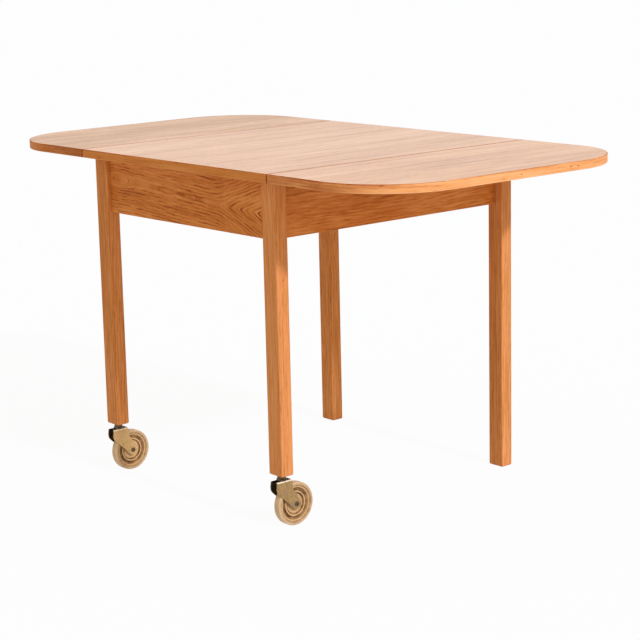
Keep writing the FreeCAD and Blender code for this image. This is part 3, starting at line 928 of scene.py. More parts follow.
@dataclass
class Strip:
    """An edging strip: a path along its outer face, and the way inward at each point."""

    outer: list[Vector]
    inward: list[Vector]
    thickness: float
    low: float
    high: float
    arris: float = 0.8 * MM
    arris_angles: tuple[int, ...] = (90, 60, 30, 0)

    def mesh(self) -> bmesh.types.BMesh:
        """Sweep the strip's section along its path, with its length as texture coordinates.

        Returns:
            The closed mesh.
        """
        shape = bmesh.new()
        layer = shape.loops.layers.uv.new("strip")
        section = self._section()
        rows = []
        for point, inward in zip(self.outer, self.inward):
            rows.append([shape.verts.new((point.x + inward.x * inset, point.y + inward.y * inset,
                                          height)) for inset, height in section])
        girth = self._running([Vector((*pair, 0)) for pair in section + section[:1]])
        length = self._running(self.outer)
        count = len(section)
        for step in range(len(rows) - 1):
            for index in range(count):
                after = (index + 1) % count
                face = shape.faces.new((rows[step][index], rows[step][after],
                                        rows[step + 1][after], rows[step + 1][index]))
                marks = ((length[step], girth[index]), (length[step], girth[index + 1]),
                         (length[step + 1], girth[index + 1]), (length[step + 1], girth[index]))
                for loop, mark in zip(face.loops, marks):
                    loop[layer].uv = mark
        for row in (rows[0][::-1], rows[-1]):
            face = shape.faces.new(row)
            for loop in face.loops:
                loop[layer].uv = (loop.vert.co.z, 0)
        return shape

    def _section(self) -> list[Flat]:
        """Draw the strip's cross-section with its two rounded outer arrises.

        Returns:
            Points of inset from the outer face, and height.
        """
        radius = self.arris
        lower = [(radius - radius * math.cos(math.radians(turn)),
                  self.low + radius - radius * math.sin(math.radians(turn)))
                 for turn in self.arris_angles]
        upper = [(inset, self.high + self.low - height) for inset, height in lower[::-1]]
        return [(self.thickness, self.low)] + lower + upper + [(self.thickness, self.high)]

    @staticmethod
    def _running(points: list[Vector]) -> list[float]:
        """Measure along a path.

        Args:
            points: The path's points.

        Returns:
            The distance from the first point to each, along the path.
        """
        marks = [0.0]
        for before, after in zip(points, points[1:]):
            marks.append(marks[-1] + (after - before).length)
        return marks


@dataclass(frozen=True)
class Sheet:
    """One board's veneer: its node, its heart, its tone, its lacquer and its dark streaks."""

    node: str
    heart_across: float
    middle: Colour
    lacquer: float
    veins: tuple[Vein, ...]


@dataclass
class Top:
    """The centre board and the two leaves, each a veneered board inside an oak edging."""

    corner_radius: float = 147 * MM
    arc_steps: int = 48
    seam_centre: float = 264 * MM
    # How far from a seam the edging's ends get painted shade.
    edging_seam_reach: float = 1.5 * MM
    # Painted shade: a thin dark line along the edging near its top arris.
    top_arris_painted_shade: Vein = Vein(16.4 * MM, -1.0, 3.0, 1.1 * MM, 0.4, wander=0.0)
    # Painted highlight: a lighter line along the edging's bottom arris.
    bottom_arris_highlight: Vein = Vein(2.6 * MM, -1.0, 3.0, 1.3 * MM, -0.25, wander=0.0)
    speck_height: float = 9.7 * MM
    speck_reach: float = 2 * MM
    speck_half_width: float = 1.3 * MM
    speck_strength: float = 0.8
    speck_places: tuple[float, ...] = (517 * MM, 635 * MM, 653 * MM)
    sheet_tones: tuple[Colour, Colour] = ((250, 194, 146), (176, 100, 50))
    seam_tones: Tones = ((236, 164, 98), (218, 142, 80), (150, 84, 40))
    end_tones: Tones = ((224, 146, 72), (206, 122, 48), (118, 60, 22))
    # The left leaf's edging is painted darker than the right one, as painted shade.
    left_shaded_tones: Tones = ((220, 144, 72), (204, 122, 52), (130, 58, 12))
    right_tones: Tones = ((248, 186, 120), (235, 161, 90), (170, 70, 4))
    left_shade: Vein = Vein(0.01, -0.12, 0.16, 0.1, 0.3, wander=0.0)
    # Painted shade on the right leaf's edging where its end faces -X.
    right_end_painted_shade: Vein = Vein(0.01, -0.2, 0.36, 0.1, 0.34, wander=0.0)
    sheets: tuple[Sheet, ...] = (
        Sheet("centre_board", heart_across=0.55, middle=(226, 161, 94), lacquer=0.44, veins=(
            Vein(-0.112, -0.04, 0.16, 2.2 * MM, 0.5), Vein(0.121, 0.16, 0.3, 2 * MM, 0.55),
            Vein(0.14, -0.16, 0.08, 2 * MM, 0.25), Vein(-0.116, -0.28, -0.08, 2 * MM, 0.25),
            Vein(0.02, -0.1, 0.25, 1.6 * MM, 0.25), Vein(-0.19, 0.0, 0.3, 1.6 * MM, 0.25))),
        Sheet("leaf_board_right", heart_across=-0.8, middle=(232, 163, 90), lacquer=0.44, veins=(
            Vein(-0.412, -0.2, 0.32, 2.6 * MM, 0.55), Vein(-0.437, -0.1, 0.12, 2 * MM, 0.3),
            Vein(-0.34, -0.25, 0.1, 1.6 * MM, 0.2))),
        Sheet("leaf_board_left", heart_across=0.9, middle=(199, 138, 66), lacquer=0.28, veins=(
            Vein(0.36, -0.2, 0.2, 2 * MM, 0.25), Vein(0.45, -0.1, 0.25, 2 * MM, 0.2))))

    def build(self, nodes: dict[str, bpy.types.Object]) -> None:
        """Dress the boards and seam strips, and make the bent and end edgings.

        Args:
            nodes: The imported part's nodes by name.
        """
        self._dress_boards(nodes)
        self._dress_seams(nodes)
        for end, sign in (("front", -1), ("back", 1)):
            self._end_strip("centre_edging_" + end, sign)
        for side in Side:
            self._leaf_strip(side)

    def _dress_boards(self, nodes: dict[str, bpy.types.Object]) -> None:
        """Give each board its own sheet of straight-grained veneer.

        Args:
            nodes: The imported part's nodes by name.
        """
        pale, dark = self.sheet_tones
        for sheet in self.sheets:
            finish = WoodFinish(
                "oak_veneer_" + sheet.node, Grain.ALONG_X_FACE_Z, pale, sheet.middle, dark,
                heart_across=sheet.heart_across, ring_spacing=6 * MM, warp=10 * MM,
                ring_share=0.25, fibre_share=0.95, broad_share=0.8, pore_share=0.25,
                streak_share=0.2, veins=sheet.veins, roughness=0.42, gloss=0.4,
                lacquer=sheet.lacquer).build()
            dress(nodes[sheet.node], finish)

    def _dress_seams(self, nodes: dict[str, bpy.types.Object]) -> None:
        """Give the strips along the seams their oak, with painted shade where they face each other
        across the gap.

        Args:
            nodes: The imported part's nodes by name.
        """
        finish = WoodFinish(
            "oak_seam_edging", Grain.ALONG_X_FACE_Z, *self.seam_tones, ring_share=0.1,
            roughness=0.42, gloss=0.2, lacquer=0.15, seam_centre=self.seam_centre).build()
        for side in Side:
            for start in ("centre_edging_", "leaf_seam_edging_"):
                dress(nodes[start + side.label], finish)

    def _edging_finish(self, name: str, tones: Tones,
                       veins: tuple[Vein, ...] = ()) -> bpy.types.Material:
        """Make the oak of one edging strip, dark where its ends face each other at a seam.

        Args:
            name: The material's name.
            tones: Its pale, middle and dark colours.
            veins: Painted shade, darker streaks and specks of this strip only.

        Returns:
            The material.
        """
        return WoodFinish(name, Grain.ALONG_STRIP, *tones, ring_share=0.15, fibre_share=0.8,
                          pore_share=0.12, ring_spacing=3 * MM, warp=3 * MM,
                          veins=(self.top_arris_painted_shade, self.bottom_arris_highlight, *veins),
                          seam_centre=self.seam_centre,
                          seam_reach=self.edging_seam_reach).build()

    def _leaf_finish(self, side: Side) -> bpy.types.Material:
        """Make one leaf's edging finish: the left painted darker as shade, the right with painted
        shade on its -X end and specks.

        Args:
            side: The leaf's side.

        Returns:
            The material.
        """
        if side is Side.LEFT:
            return self._edging_finish("oak_edging_left", self.left_shaded_tones, (self.left_shade,))
        specks = [Vein(self.speck_height, place - self.speck_reach, place + self.speck_reach,
                       self.speck_half_width, self.speck_strength, wander=0.0)
                  for place in self.speck_places]
        return self._edging_finish("oak_edging_right", self.right_tones,
                                   (self.right_end_painted_shade, *specks))

    def _end_strip(self, node: str, sign: int) -> None:
        """Make the edging on one end of the centre board.

        Args:
            node: The edging's CAD node.
            sign: The end's sign along X.
        """
        low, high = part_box(node)
        face_x = low.x if sign < 0 else high.x
        path = [Vector((face_x, low.y, 0)), Vector((face_x, high.y, 0))]
        inward = [Vector((-sign, 0, 0))] * 2
        strip = Strip(path, inward, high.x - low.x, low.z, high.z)
        finish = self._edging_finish("oak_" + node, self.end_tones)
        piece = make_object(node + "_strip", strip.mesh(), finish)
        settle(piece, "frame", node)

    def _leaf_strip(self, side: Side) -> None:
        """Make the edging bent round one leaf's free sides.

        Args:
            side: The leaf's side.
        """
        name = side.label
        low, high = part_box("leaf_edging_" + name)
        _, board_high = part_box("leaf_board_" + name)
        path, inward = self._free_edge(side, low, high)
        strip = Strip(path, inward, high.x - board_high.x, low.z, high.z)
        piece = make_object("leaf_bent_edging_" + name, strip.mesh(), self._leaf_finish(side))
        settle(piece, "leaf_" + name, "leaf_edging_" + name)

    def _free_edge(self, side: Side, low: Vector,
                   high: Vector) -> tuple[list[Vector], list[Vector]]:
        """Follow a leaf's free edge from seam to seam.

        Args:
            side: The leaf's side.
            low: The edging's lowest corner.
            high: The edging's highest corner.

        Returns:
            The points of the path, and the way inward at each.
        """
        sign = side.value
        radius = self.corner_radius
        seam = low.y if sign > 0 else high.y
        outer = high.y if sign > 0 else low.y
        round_y = outer - sign * radius
        path, inward = [], []
        for end in (-1, 1):
            edge_x = high.x * end
            corner = Vector((edge_x - end * radius, round_y, 0))
            stations = [(Vector((edge_x, seam, 0)), Vector((-end, 0, 0)))]
            for step in range(self.arc_steps + 1):
                turn = math.pi / 2 * step / self.arc_steps
                way = Vector((end * math.cos(turn), sign * math.sin(turn), 0))
                stations.append((corner + way * radius, -way))
            if end > 0:
                stations = stations[::-1]
            path += [point for point, _ in stations]
            inward += [way for _, way in stations]
        return path, inward


@dataclass(frozen=True)
class Stick:
    """One leg's timber: the leg's name, its heart, its tone, which is partly painted shade, its
    knots and its specks.
    """

    name: str
    heart_across: float
    middle: Colour
    knots: tuple[Knot, ...] = ()
    veins: tuple[Vein, ...] = ()


@dataclass
class Frame:
    """Four straight legs and four aprons, with a dowelled joint at each corner."""

    leg_arris: float = 1.8 * MM
    leg_tones: tuple[Colour, Colour] = ((236, 160, 92), (146, 78, 22))
    foot_round: float = 3 * MM
    apron_arris: float = 0.7 * MM
    # Painted shadow: a dark band along the aprons' top edge, under the top.
    apron_top_painted_shadow: Vein = Vein(0.5948, -1.0, 1.0, 2.4 * MM, 0.3, wander=0.0)
    apron_bright: Vein = Vein(0.546, 0.0, 0.34, 0.12, -0.3, wander=0.0)
    apron_flame: Flame = Flame(-0.1, -1, 0.38)
    apron_knot: Knot = Knot(0.196, 0.5575, 0.03, 0.014, -2.6)
    # The middle tones are partly painted shade: legs further under the table or from the lamp are
    # painted darker than the near front_right leg.
    sticks: tuple[Stick, ...] = (
        Stick("front_right", heart_across=0.31, middle=(215, 135, 67),
              veins=(Vein(-0.266, 0.4275, 0.4325, 1.3 * MM, 0.9, wander=0.0, axis=2),)),
        Stick("front_left", heart_across=-0.2, middle=(202, 122, 52),
              knots=(Knot(0.4, 0.262, 0.1, 0.012, 2.0),)),
        Stick("back_right", heart_across=-0.29, middle=(206, 128, 60)),
        Stick("back_left", heart_across=0.19, middle=(203, 125, 54),
              knots=(Knot(0.36, 0.232, 0.03, 0.012, 2.5), Knot(0.3, 0.245, 0.05, 0.01, 1.5),
                     Knot(0.13, 0.24, 0.06, 0.01, 2.0))))

    def build(self) -> None:
        """Make the legs, each with its own figure, and the aprons."""
        for stick in self.sticks:
            self._leg(stick)
        for name, finish in self._apron_finishes().items():
            self._apron(name, finish.build())

    def _leg(self, stick: Stick) -> None:
        """Make one leg with its rounded foot.

        Args:
            stick: The leg's timber.
        """
        pale, dark = self.leg_tones
        finish = WoodFinish(
            "oak_leg_" + stick.name, Grain.ALONG_Z_FACE_X, pale, stick.middle, dark,
            heart_across=stick.heart_across, heart_slope=0.02, lean=0.75,
            ring_spacing=5 * MM, warp=8 * MM, ring_share=0.38, fibre_share=0.95,
            pore_share=0.12, broad_share=0.5, knots=stick.knots, veins=stick.veins).build()
        node = "leg_" + stick.name
        low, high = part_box(node)
        shape = block_mesh(low, high)
        foot = [edge for edge in shape.edges
                if all(abs(vert.co.z - low.z) < TOUCH for vert in edge.verts)]
        round_edges(shape, foot, self.foot_round, steps=4)
        piece = make_object(node + "_post", shape, finish)
        soften(piece, self.leg_arris, limit=50.0)
        settle(piece, "frame", node)

    def _apron_finishes(self) -> dict[str, WoodFinish]:
        """Choose the figure that each apron shows.

        Returns:
            The finishes by the aprons' names.
        """
        common = {"pale": (228, 146, 70), "middle": (202, 114, 40), "dark": (146, 68, 12),
                  "speck": (112, 50, 10), "pore_share": 0.12}
        flame = {"ring_spacing": 5.8 * MM, "heart_across": 0.548, "heart_slope": 0.055,
                 "warp": 15 * MM, "ring_share": 0.85, "heart_round": 4 * MM,
                 "fibre_share": 0.95, "fibre_rate": 26.0, "broad_share": 0.9,
                 "veins": (self.apron_top_painted_shadow,), "flames": (self.apron_flame,),
                 "knots": (self.apron_knot,)}
        calm = {"ring_spacing": 6 * MM, "heart_across": 0.35, "warp": 14 * MM,
                "ring_share": 0.38, "fibre_share": 1.15, "fibre_rate": 24.0,
                "broad_share": 1.0, "veins": (self.apron_top_painted_shadow, self.apron_bright)}
        faces = {"front": (Grain.ALONG_Y_FACE_X, flame), "back": (Grain.ALONG_Y_FACE_X, calm),
                 "right": (Grain.ALONG_X_FACE_Y, calm), "left": (Grain.ALONG_X_FACE_Y, calm)}
        return {name: WoodFinish("oak_apron_" + name, grain, **common, **figure)
                for name, (grain, figure) in faces.items()}

    def _apron(self, name: str, finish: bpy.types.Material) -> None:
        """Make one apron.

        Args:
            name: The apron's name.
            finish: Its material.
        """
        node = "apron_" + name
        piece = make_object(node + "_board", block_mesh(*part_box(node)), finish)
        soften(piece, self.apron_arris, steps=2)
        settle(piece, "frame", node)


@dataclass(frozen=True)
class Bend:
    """A rounded turn of the wheel's face: where its centre lies, in mm, and how it turns."""

    out: float
    aside: float
    radius: float
    start: float
    end: float

    def points(self, steps: int) -> list[Flat]:
        """Return points along the turn in metres."""
        return arc((self.out * MM, self.aside * MM), self.radius * MM, self.start, self.end,
                   steps)


@dataclass
class Caster:
    """One swivel caster: folded fork on a dark neck, and a ringed wheel on a riveted axle."""

    side: Side
    metals: dict[str, bpy.types.Material]
    sheet: float = 1.5 * MM
    fold_radius: float = 3 * MM
    fork_arris: float = 0.25 * MM
    fold_rise: float = 0.2
    fold_beside: Flat = (0.3, 0.95)
    cheek_beside: float = 0.72
    flat_across: float = 0.05
    facing: float = 0.9
    front_drop: float = 17.5 * MM
    front_round: float = 13 * MM
    front_steps: int = 6
    web_lip: float = 6.2 * MM
    trail: float = 25 * MM
    waist_back: float = 17.6 * MM
    waist_drop: float = 17 * MM
    top_back: float = 15.6 * MM
    boss_radius: float = 9.5 * MM
    boss_steps: int = 20
    bore_radius: float = 3.55 * MM
    hub_radius: float = 7.2 * MM
    hub_round: float = 0.8 * MM
    rim_radius: float = 31 * MM
    rim_half_width: float = 5.2 * MM
    face_steps: int = 4
    face_bends: tuple[Bend, ...] = (
        Bend(9.4, 3.5, 1.4, 180, 270), Bend(17.2, 2.9, 0.8, 270, 345),
        Bend(20.4, 3.9, 0.9, 160, 90), Bend(21.4, 3.9, 0.9, 90, 20),
        Bend(24.2, 3.1, 1.0, 195, 270), Bend(26.0, 3.7, 1.6, 270, 320),
        Bend(29.4, 4.0, 1.4, 150, 90))
    # Painted shade and dirt by distance from the axle in mm: in the grooves, round the hub and at
    # the rim.
    disc_bands: Stops = (
        (0.0, 0.3), (8.0, 0.1), (9.0, 0.0), (16.4, 0.1), (17.3, 0.7), (19.0, 0.85),
        (19.9, 0.2), (20.5, 0.0), (21.6, 0.05), (22.4, 0.6), (23.4, 0.9), (26.4, 0.8),
        (28.0, 0.45), (29.0, 0.05), (30.2, 0.1), (31.0, 0.4), (38.0, 0.6))
    # Painted shade and dirt on the tyre, darkest where it meets the rim.
    tyre_bands: Stops = (
        (0.0, 0.6), (31.2, 0.5), (32.8, 0.65), (34.0, 0.3), (36.4, 0.25), (37.6, 0.05),
        (38.0, 0.05))
    tyre_shoulder: float = 2 * MM
    shoulder_steps: int = 6
    tyre_lip: float = 1.2 * MM
    rivet_head: float = 1.6 * MM
    rivet_head_radius: float = 4.5 * MM
    rivet_edge: float = 0.4 * MM
    rivet_round: float = 1.2 * MM
    rivet_steps: int = 5
    rivet_shank: float = 2.5 * MM
    dimple_radius: float = 1.7 * MM
    dimple_floor: float = 1.2 * MM
    dimple_wall: float = 1.2 * MM
    dimple_depth: float = 1.3 * MM

    @property
    def label(self) -> str:
        """Return the side's name."""
        return self.side.label

    @property
    def axle(self) -> Vector:
        """Return the middle of the wheel's axle."""
        low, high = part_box("caster_tyre_" + self.label)
        return (low + high) / 2

    @property
    def wheel_size(self) -> Flat:
        """Return the wheel's radius over its tyre and half its width."""
        low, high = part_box("caster_tyre_" + self.label)
        return (high.z - low.z) / 2, (high.y - low.y) / 2

    def build(self) -> None:
        """Make the caster's wheel, tyre, fork and rivet."""
        self._wheel()
        self._tyre()
        self._fork()
        self._rivet()

    def _wheel(self) -> None:
        """Make the moulded wheel with its hub, dished web and raised ring."""
        finish = WheelFinish("wheel_plastic_" + self.label, self.axle, light=(212, 168, 102),
                             groove_shade_and_dirt=(84, 42, 2), bands=self.disc_bands,
                             roughness=0.27).build()
        _, half = self.wheel_size
        face = [(self.bore_radius, half)]
        face += arc((self.hub_radius, half - self.hub_round), self.hub_round, 90, 0,
                    self.face_steps)
        for bend in self.face_bends:
            face += bend.points(self.face_steps)
        face += [(self.rim_radius, self.rim_half_width)]
        profile = face + [(radius, -place) for radius, place in face[::-1]]
        piece = make_object("caster_wheel_disc_" + self.label,
                            lathe_mesh(profile, self.axle), finish, smooth_below=50)
        settle(piece, "caster_wheel_body_" + self.label,
               "caster_wheel_" + self.label)

    def _tyre(self) -> None:
        """Make the tyre with its rounded shoulders."""
        finish = WheelFinish("tyre_plastic_" + self.label, self.axle, light=(216, 180, 124),
                             groove_shade_and_dirt=(118, 74, 20), bands=self.tyre_bands,
                             roughness=0.4).build()
        radius, half = self.wheel_size
        rim, shoulder, lip = self.rim_radius, self.tyre_shoulder, self.tyre_lip
        outline = [(rim, lip - half), (rim + lip, -half)]
        outline += arc((radius - shoulder, shoulder - half), shoulder, -90, 0,
                       self.shoulder_steps)
        outline += arc((radius - shoulder, half - shoulder), shoulder, 0, 90,
                       self.shoulder_steps)
        outline += [(rim + lip, half), (rim, half - lip)]
        piece = make_object("caster_tread_" + self.label,
                            lathe_mesh(outline, self.axle, steps=128), finish)
        settle(piece, "caster_wheel_body_" + self.label,
               "caster_tyre_" + self.label)

    def _fork(self) -> None:
        """Make the fork as one sheet folded down at both sides and at the front."""
        low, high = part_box("caster_fork_" + self.label)
        width = Vector((0, high.y - low.y, 0))
        outline = [Vector((x, low.y, z)) for x, z in self._cheek_outline(low, high)]
        shape = prism_mesh(outline, width)
        self._fold(shape, low, high)
        self._open(shape, high)
        fork = make_object("caster_folded_fork_" + self.label, shape,
                           self.metals["yellow_plate_" + self.label], smooth_below=50)
        # The dark finish goes on the web and top plate, and on every inner face as painted shade.
        for name in ("dark_bronze", "dark_bronze", "worn_plate", "dark_bronze"):
            fork.data.materials.append(self.metals[name])
        self._tint(fork.data)
        skin = fork.modifiers.new("sheet", "SOLIDIFY")
        skin.thickness = self.sheet
        skin.offset = -1.0
        skin.use_even_offset = True
        # Each inner face takes the next slot: the dark finish as painted shade.
        skin.material_offset = 1
        soften(fork, self.fork_arris, steps=2, limit=60.0)
        settle(fork, "caster_fork_body_" + self.label,
               "caster_fork_" + self.label)

    def _fold(self, shape: bmesh.types.BMesh, low: Vector, high: Vector) -> None:
        """Round the edges where the sheet is folded: along the top and down the front.

        Args:
            shape: The fork's mesh.
            low: Its lowest corner.
            high: Its highest corner.
        """
        folds = []
        for edge in shape.edges:
            first, second = (vert.co for vert in edge.verts)
            level = abs(first.y - second.y) < TOUCH
            top = all(abs(point.z - high.z) < TOUCH for point in (first, second))
            front = all(abs(point.x - low.x) < TOUCH for point in (first, second))
            if level and (top or front):
                folds.append(edge)
        round_edges(shape, folds, self.fold_radius, steps=6)

    def _open(self, shape: bmesh.types.BMesh, high: Vector) -> None:
        """Take away the faces where the sheet is open: behind, below and under the web.

        Args:
            shape: The fork's mesh.
            high: Its highest corner.
        """
        web_bottom = high.z - self.front_drop + self.web_lip
        spare = []
        for face in shape.faces:
            middle = face.calc_center_median()
            crosswise = abs(face.normal.y) < self.flat_across
            is_top = face.normal.z > self.facing
            is_web = face.normal.x < -self.facing and middle.z > web_bottom
            if crosswise and not (is_top or is_web):
                spare.append(face)
        bmesh.ops.delete(shape, geom=spare, context="FACES")

    def _tint(self, mesh: bpy.types.Mesh) -> None:
        """Give the web and top plate the dark finish, and the upper folds a painted highlight.

        Args:
            mesh: The fork's mesh.
        """
        least, most = self.fold_beside
        for face in mesh.polygons:
            beside = abs(face.normal.y)
            kind = ForkFace.CHEEK
            if face.normal.z > self.fold_rise and least < beside < most:
                kind = ForkFace.FOLD
            elif beside < self.cheek_beside:
                kind = ForkFace.WEB
            face.material_index = kind.value

    def _cheek_outline(self, low: Vector, high: Vector) -> list[Flat]:
        """Draw a cheek: level top, rounded front, boss and waist.

        Args:
            low: The fork's lowest corner.
            high: The fork's highest corner.

        Returns:
            The outline's points in X and Z.
        """
        axle = self.axle
        swivel_x = axle.x - self.trail
        corner = (low.x, high.z - self.front_drop)
        waist = (swivel_x + self.waist_back, high.z - self.waist_drop)
        centre = (axle.x, axle.z)
        start = self._touch_angle(corner, centre, 1)
        end = self._touch_angle(waist, centre, -1)
        turns = arc(centre, self.boss_radius, start, end + (360 if end < start else 0),
                    self.boss_steps)
        web_bottom = (low.x, high.z - self.front_drop + self.web_lip)
        reach = self.front_round * math.tan(math.radians(start - 180) / 2)
        round_front = self._round_corner((low.x, corner[1] + reach), corner, turns[0], reach)
        return ([(low.x, high.z), web_bottom] + round_front + turns
                + [waist, (swivel_x + self.top_back, high.z)])

    def _round_corner(self, before: Flat, corner: Flat, after: Flat,
                      reach: float) -> list[Flat]:
        """Cut a corner by a curve.

        Args:
            before: The curve's first point.
            corner: The corner.
            after: A point beyond the corner.
            reach: How far beyond the corner the curve ends.

        Returns:
            The curve's points.
        """
        length = math.hypot(after[0] - corner[0], after[1] - corner[1])
        last = (corner[0] + (after[0] - corner[0]) * reach / length,
                corner[1] + (after[1] - corner[1]) * reach / length)
        points = []
        for step in range(self.front_steps + 1):
            share = step / self.front_steps
            points.append(tuple((1 - share) ** 2 * a + 2 * share * (1 - share) * b + share ** 2 * c
                                for a, b, c in zip(before, corner, last)))
        return points

    def _touch_angle(self, outside: Flat, centre: Flat, turn: int) -> float:
        """Find where a straight edge meets the boss.

        Args:
            outside: The edge's other end.
            centre: The boss's centre.
            turn: 1 or -1, for the side on which it meets the boss.

        Returns:
            The angle of that point round the boss in degrees.
        """
        along = (outside[0] - centre[0], outside[1] - centre[1])
        lean = math.acos(self.boss_radius / math.hypot(*along)) * turn
        return math.degrees(math.atan2(along[1], along[0]) + lean)

    def _rivet(self) -> None:
        """Make the riveted axle with its two domed, dimpled heads."""
        low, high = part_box("caster_axle_" + self.label)
        half = (high.y - low.y) / 2
        seat = half - self.rivet_head
        edge, rounding = self.rivet_head_radius, self.rivet_round
        end = [(self.rivet_shank, seat), (edge, seat), (edge, seat + self.rivet_edge)]
        end += arc((edge - rounding, seat + self.rivet_edge), rounding, 0, 90,
                   self.rivet_steps)
        end += [(self.dimple_radius, half), (self.dimple_floor, half - self.dimple_wall),
                (0.0, half - self.dimple_depth)]
        profile = end[::-1] + [(radius, -place) for radius, place in end]
        piece = make_object("caster_rivet_" + self.label,
                            lathe_mesh(profile, self.axle, steps=40, closed=False),
                            self.metals["rivet_steel"])
        settle(piece, "caster_fork_body_" + self.label,
               "caster_axle_" + self.label)


@dataclass
class KeptNodes:
    """The CAD nodes that keep their own shape: blocks, brackets, hinges, screws and necks."""

    beech: bpy.types.Material
    metals: dict[str, bpy.types.Material]

    def dress(self, nodes: dict[str, bpy.types.Object]) -> None:
        """Give each kept node its finish by the first start of a name that fits.

        Args:
            nodes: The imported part's nodes by name.
        """
        steel, neck = self.metals["zinc_steel"], self.metals["neck_steel"]
        rules = (("corner_block_screws", steel), ("bracket_block_screws", steel),
                 ("top_screws", steel), ("hinge_", steel), ("bracket_pin", steel),
                 ("corner_block", self.beech), ("bracket_block", self.beech),
                 ("bracket_arm", self.beech), ("apron_dowels", self.beech),
                 ("caster_cup", neck), ("caster_stem", neck), ("caster_socket", neck),
                 ("caster_axle", self.metals["rivet_steel"]),
                 ("caster_bush", self.metals["rivet_steel"]))
        for name, node in nodes.items():
            finish = next((made for start, made in rules if name.startswith(start)), None)
            if finish is not None:
                dress(node, finish)


@dataclass(frozen=True)
class Lamp:
    """A far light: the way it shines, its strength, its spread in radians and its colour."""

    name: str
    heading: Triple
    strength: float
    spread: float
    colour: Colour
    distance: float = 3.0

    def build(self) -> None:
        """Add the light, which leaves no glare in polished faces."""
        data = bpy.data.lights.new(self.name, "SUN")
        data.energy = self.strength
        data.color = self.colour
        data.angle = self.spread
        lamp = bpy.data.objects.new(self.name, data)
        lamp.location = -self.distance * Vector(self.heading).normalized()
        lamp.rotation_mode = "QUATERNION"
        lamp.rotation_quaternion = Vector(self.heading).to_track_quat("-Z", "Y")
        lamp.visible_glossy = False
        bpy.context.scene.collection.objects.link(lamp)


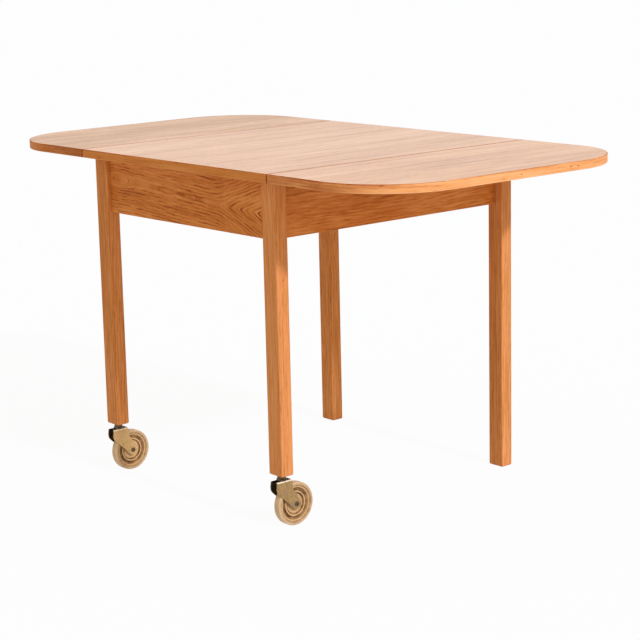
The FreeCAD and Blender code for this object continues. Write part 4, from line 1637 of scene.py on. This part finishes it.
@dataclass(frozen=True)
class Studio:
    """White sweep, soft lamps and the camera of the photograph."""

    camera_place: Triple = (-2.239468, -2.637357, 1.020779)
    heading: float = 49.2523
    downward: float = 12.0257
    roll: float = -1.3115
    focal_pixels: float = 1907.654
    frame_pixels: float = 640.0
    sensor: float = 36.0
    floor_size: float = 60.0
    floor_tone: Colour = (0.8, 0.8, 0.8)
    white: Colour = (1.0, 1.0, 1.0)
    white_share: float = 0.95
    room_light: float = 0.6
    room_colour: Colour = (1.0, 0.965, 0.88)
    lamps: tuple[Lamp, ...] = (
        Lamp("window_light", heading=(0.0, 3.1, -1.98), strength=1.85, spread=0.07,
             colour=(0.98, 1.07, 1.75)),
        Lamp("wide_fill_light", heading=(0.15, 1.0, -0.12), strength=0.42, spread=1.3,
             colour=(1.0, 1.0, 1.0)))

    def build(self) -> None:
        """Make the floor, the room, the lamps and the camera."""
        self._floor()
        self._room()
        for lamp in self.lamps:
            lamp.build()
        self._camera()

    def _floor(self) -> None:
        """Make the white floor, which keeps a faint shadow."""
        shape = bmesh.new()
        bmesh.ops.create_grid(shape, x_segments=1, y_segments=1, size=self.floor_size)
        kit = NodeKit.material("studio_floor")
        matt = kit.plain("ShaderNodeBsdfDiffuse", self.floor_tone)
        glow = kit.plain("ShaderNodeEmission", self.white, 1.0)
        kit.shown_apart(matt, glow, self.white_share, "ShaderNodeOutputMaterial")
        floor = make_object("studio_floor", shape, kit.owner)

    def _room(self) -> None:
        """Make the room white to the camera and in reflections, and dimmer as a light."""
        kit = NodeKit.fresh(bpy.data.worlds.new("studio_room"))
        dim = kit.plain("ShaderNodeBackground", self.room_colour, self.room_light)
        full = kit.plain("ShaderNodeBackground", self.white, 1.0)
        kit.shown_apart(dim, full, 1.0, "ShaderNodeOutputWorld")
        bpy.context.scene.world = kit.owner

    def _camera(self) -> None:
        """Add the camera at the photograph's viewing angle."""
        heading, downward, roll = map(math.radians, (self.heading, self.downward, self.roll))
        ahead = Vector((math.cos(heading) * math.cos(downward),
                        math.sin(heading) * math.cos(downward), -math.sin(downward)))
        level_right = ahead.cross(Vector((0, 0, 1))).normalized()
        level_up = level_right.cross(ahead)
        right = level_right * math.cos(roll) + level_up * math.sin(roll)
        up = level_up * math.cos(roll) - level_right * math.sin(roll)
        data = bpy.data.cameras.new("photograph_view")
        data.sensor_width = self.sensor
        data.lens = self.focal_pixels / self.frame_pixels * self.sensor
        camera = bpy.data.objects.new("photograph_view", data)
        turn = Matrix((right, up, -ahead)).transposed().to_4x4()
        camera.matrix_world = Matrix.Translation(self.camera_place) @ turn
        bpy.context.scene.collection.objects.link(camera)
        bpy.context.scene.camera = camera


def make_metals() -> dict[str, bpy.types.Material]:
    """Make the finishes of the forks, necks, rivets, hinges and screws.

    Returns:
        The materials by name.
    """
    finishes = (
        MetalFinish("zinc_steel", (196, 194, 188), (160, 158, 152)),
        MetalFinish("yellow_plate_right", (180, 144, 84), (148, 114, 68), roughness=0.45,
                    metallic=0.5, tarnish=(150, 122, 98)),
        # The left fork's plate is painted lighter than the right one, as painted light against the
        # table's shade over it.
        MetalFinish("yellow_plate_left", (216, 176, 110), (184, 146, 88), roughness=0.45,
                    metallic=0.5),
        # Painted highlight along the fork's upper folds.
        MetalFinish("worn_plate", (250, 234, 190), (232, 208, 160), roughness=0.35,
                    metallic=0.3),
        MetalFinish("neck_steel", (112, 94, 70), (52, 41, 30), roughness=0.22),
        # Dark finish of the web and top plate, also painted shade on the fork's inner faces.
        MetalFinish("dark_bronze", (50, 36, 20), (78, 58, 34), roughness=0.4, metallic=0.5),
        MetalFinish("rivet_steel", (136, 112, 88), (100, 80, 62), roughness=0.55))
    return {finish.name: finish.build() for finish in finishes}


def main() -> None:
    """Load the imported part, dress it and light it."""
    logging.basicConfig(level=logging.INFO, format="%(message)s")
    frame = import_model()
    beech = WoodFinish("plain_beech", Grain.ALONG_X_FACE_Y, pale=(214, 160, 102),
                       middle=(192, 138, 84), dark=(150, 98, 50), ring_share=0.15,
                       pore_share=0.12, ring_spacing=3 * MM).build()
    metals = make_metals()
    Top().build(frame["nodes"])
    Frame().build()
    for side in Side:
        Caster(side, metals).build()
    KeptNodes(beech, metals).dress(frame["nodes"])
    Studio().build()
    bpy.context.scene.view_settings.view_transform = "Standard"


if __name__ == "__main__":
    main()
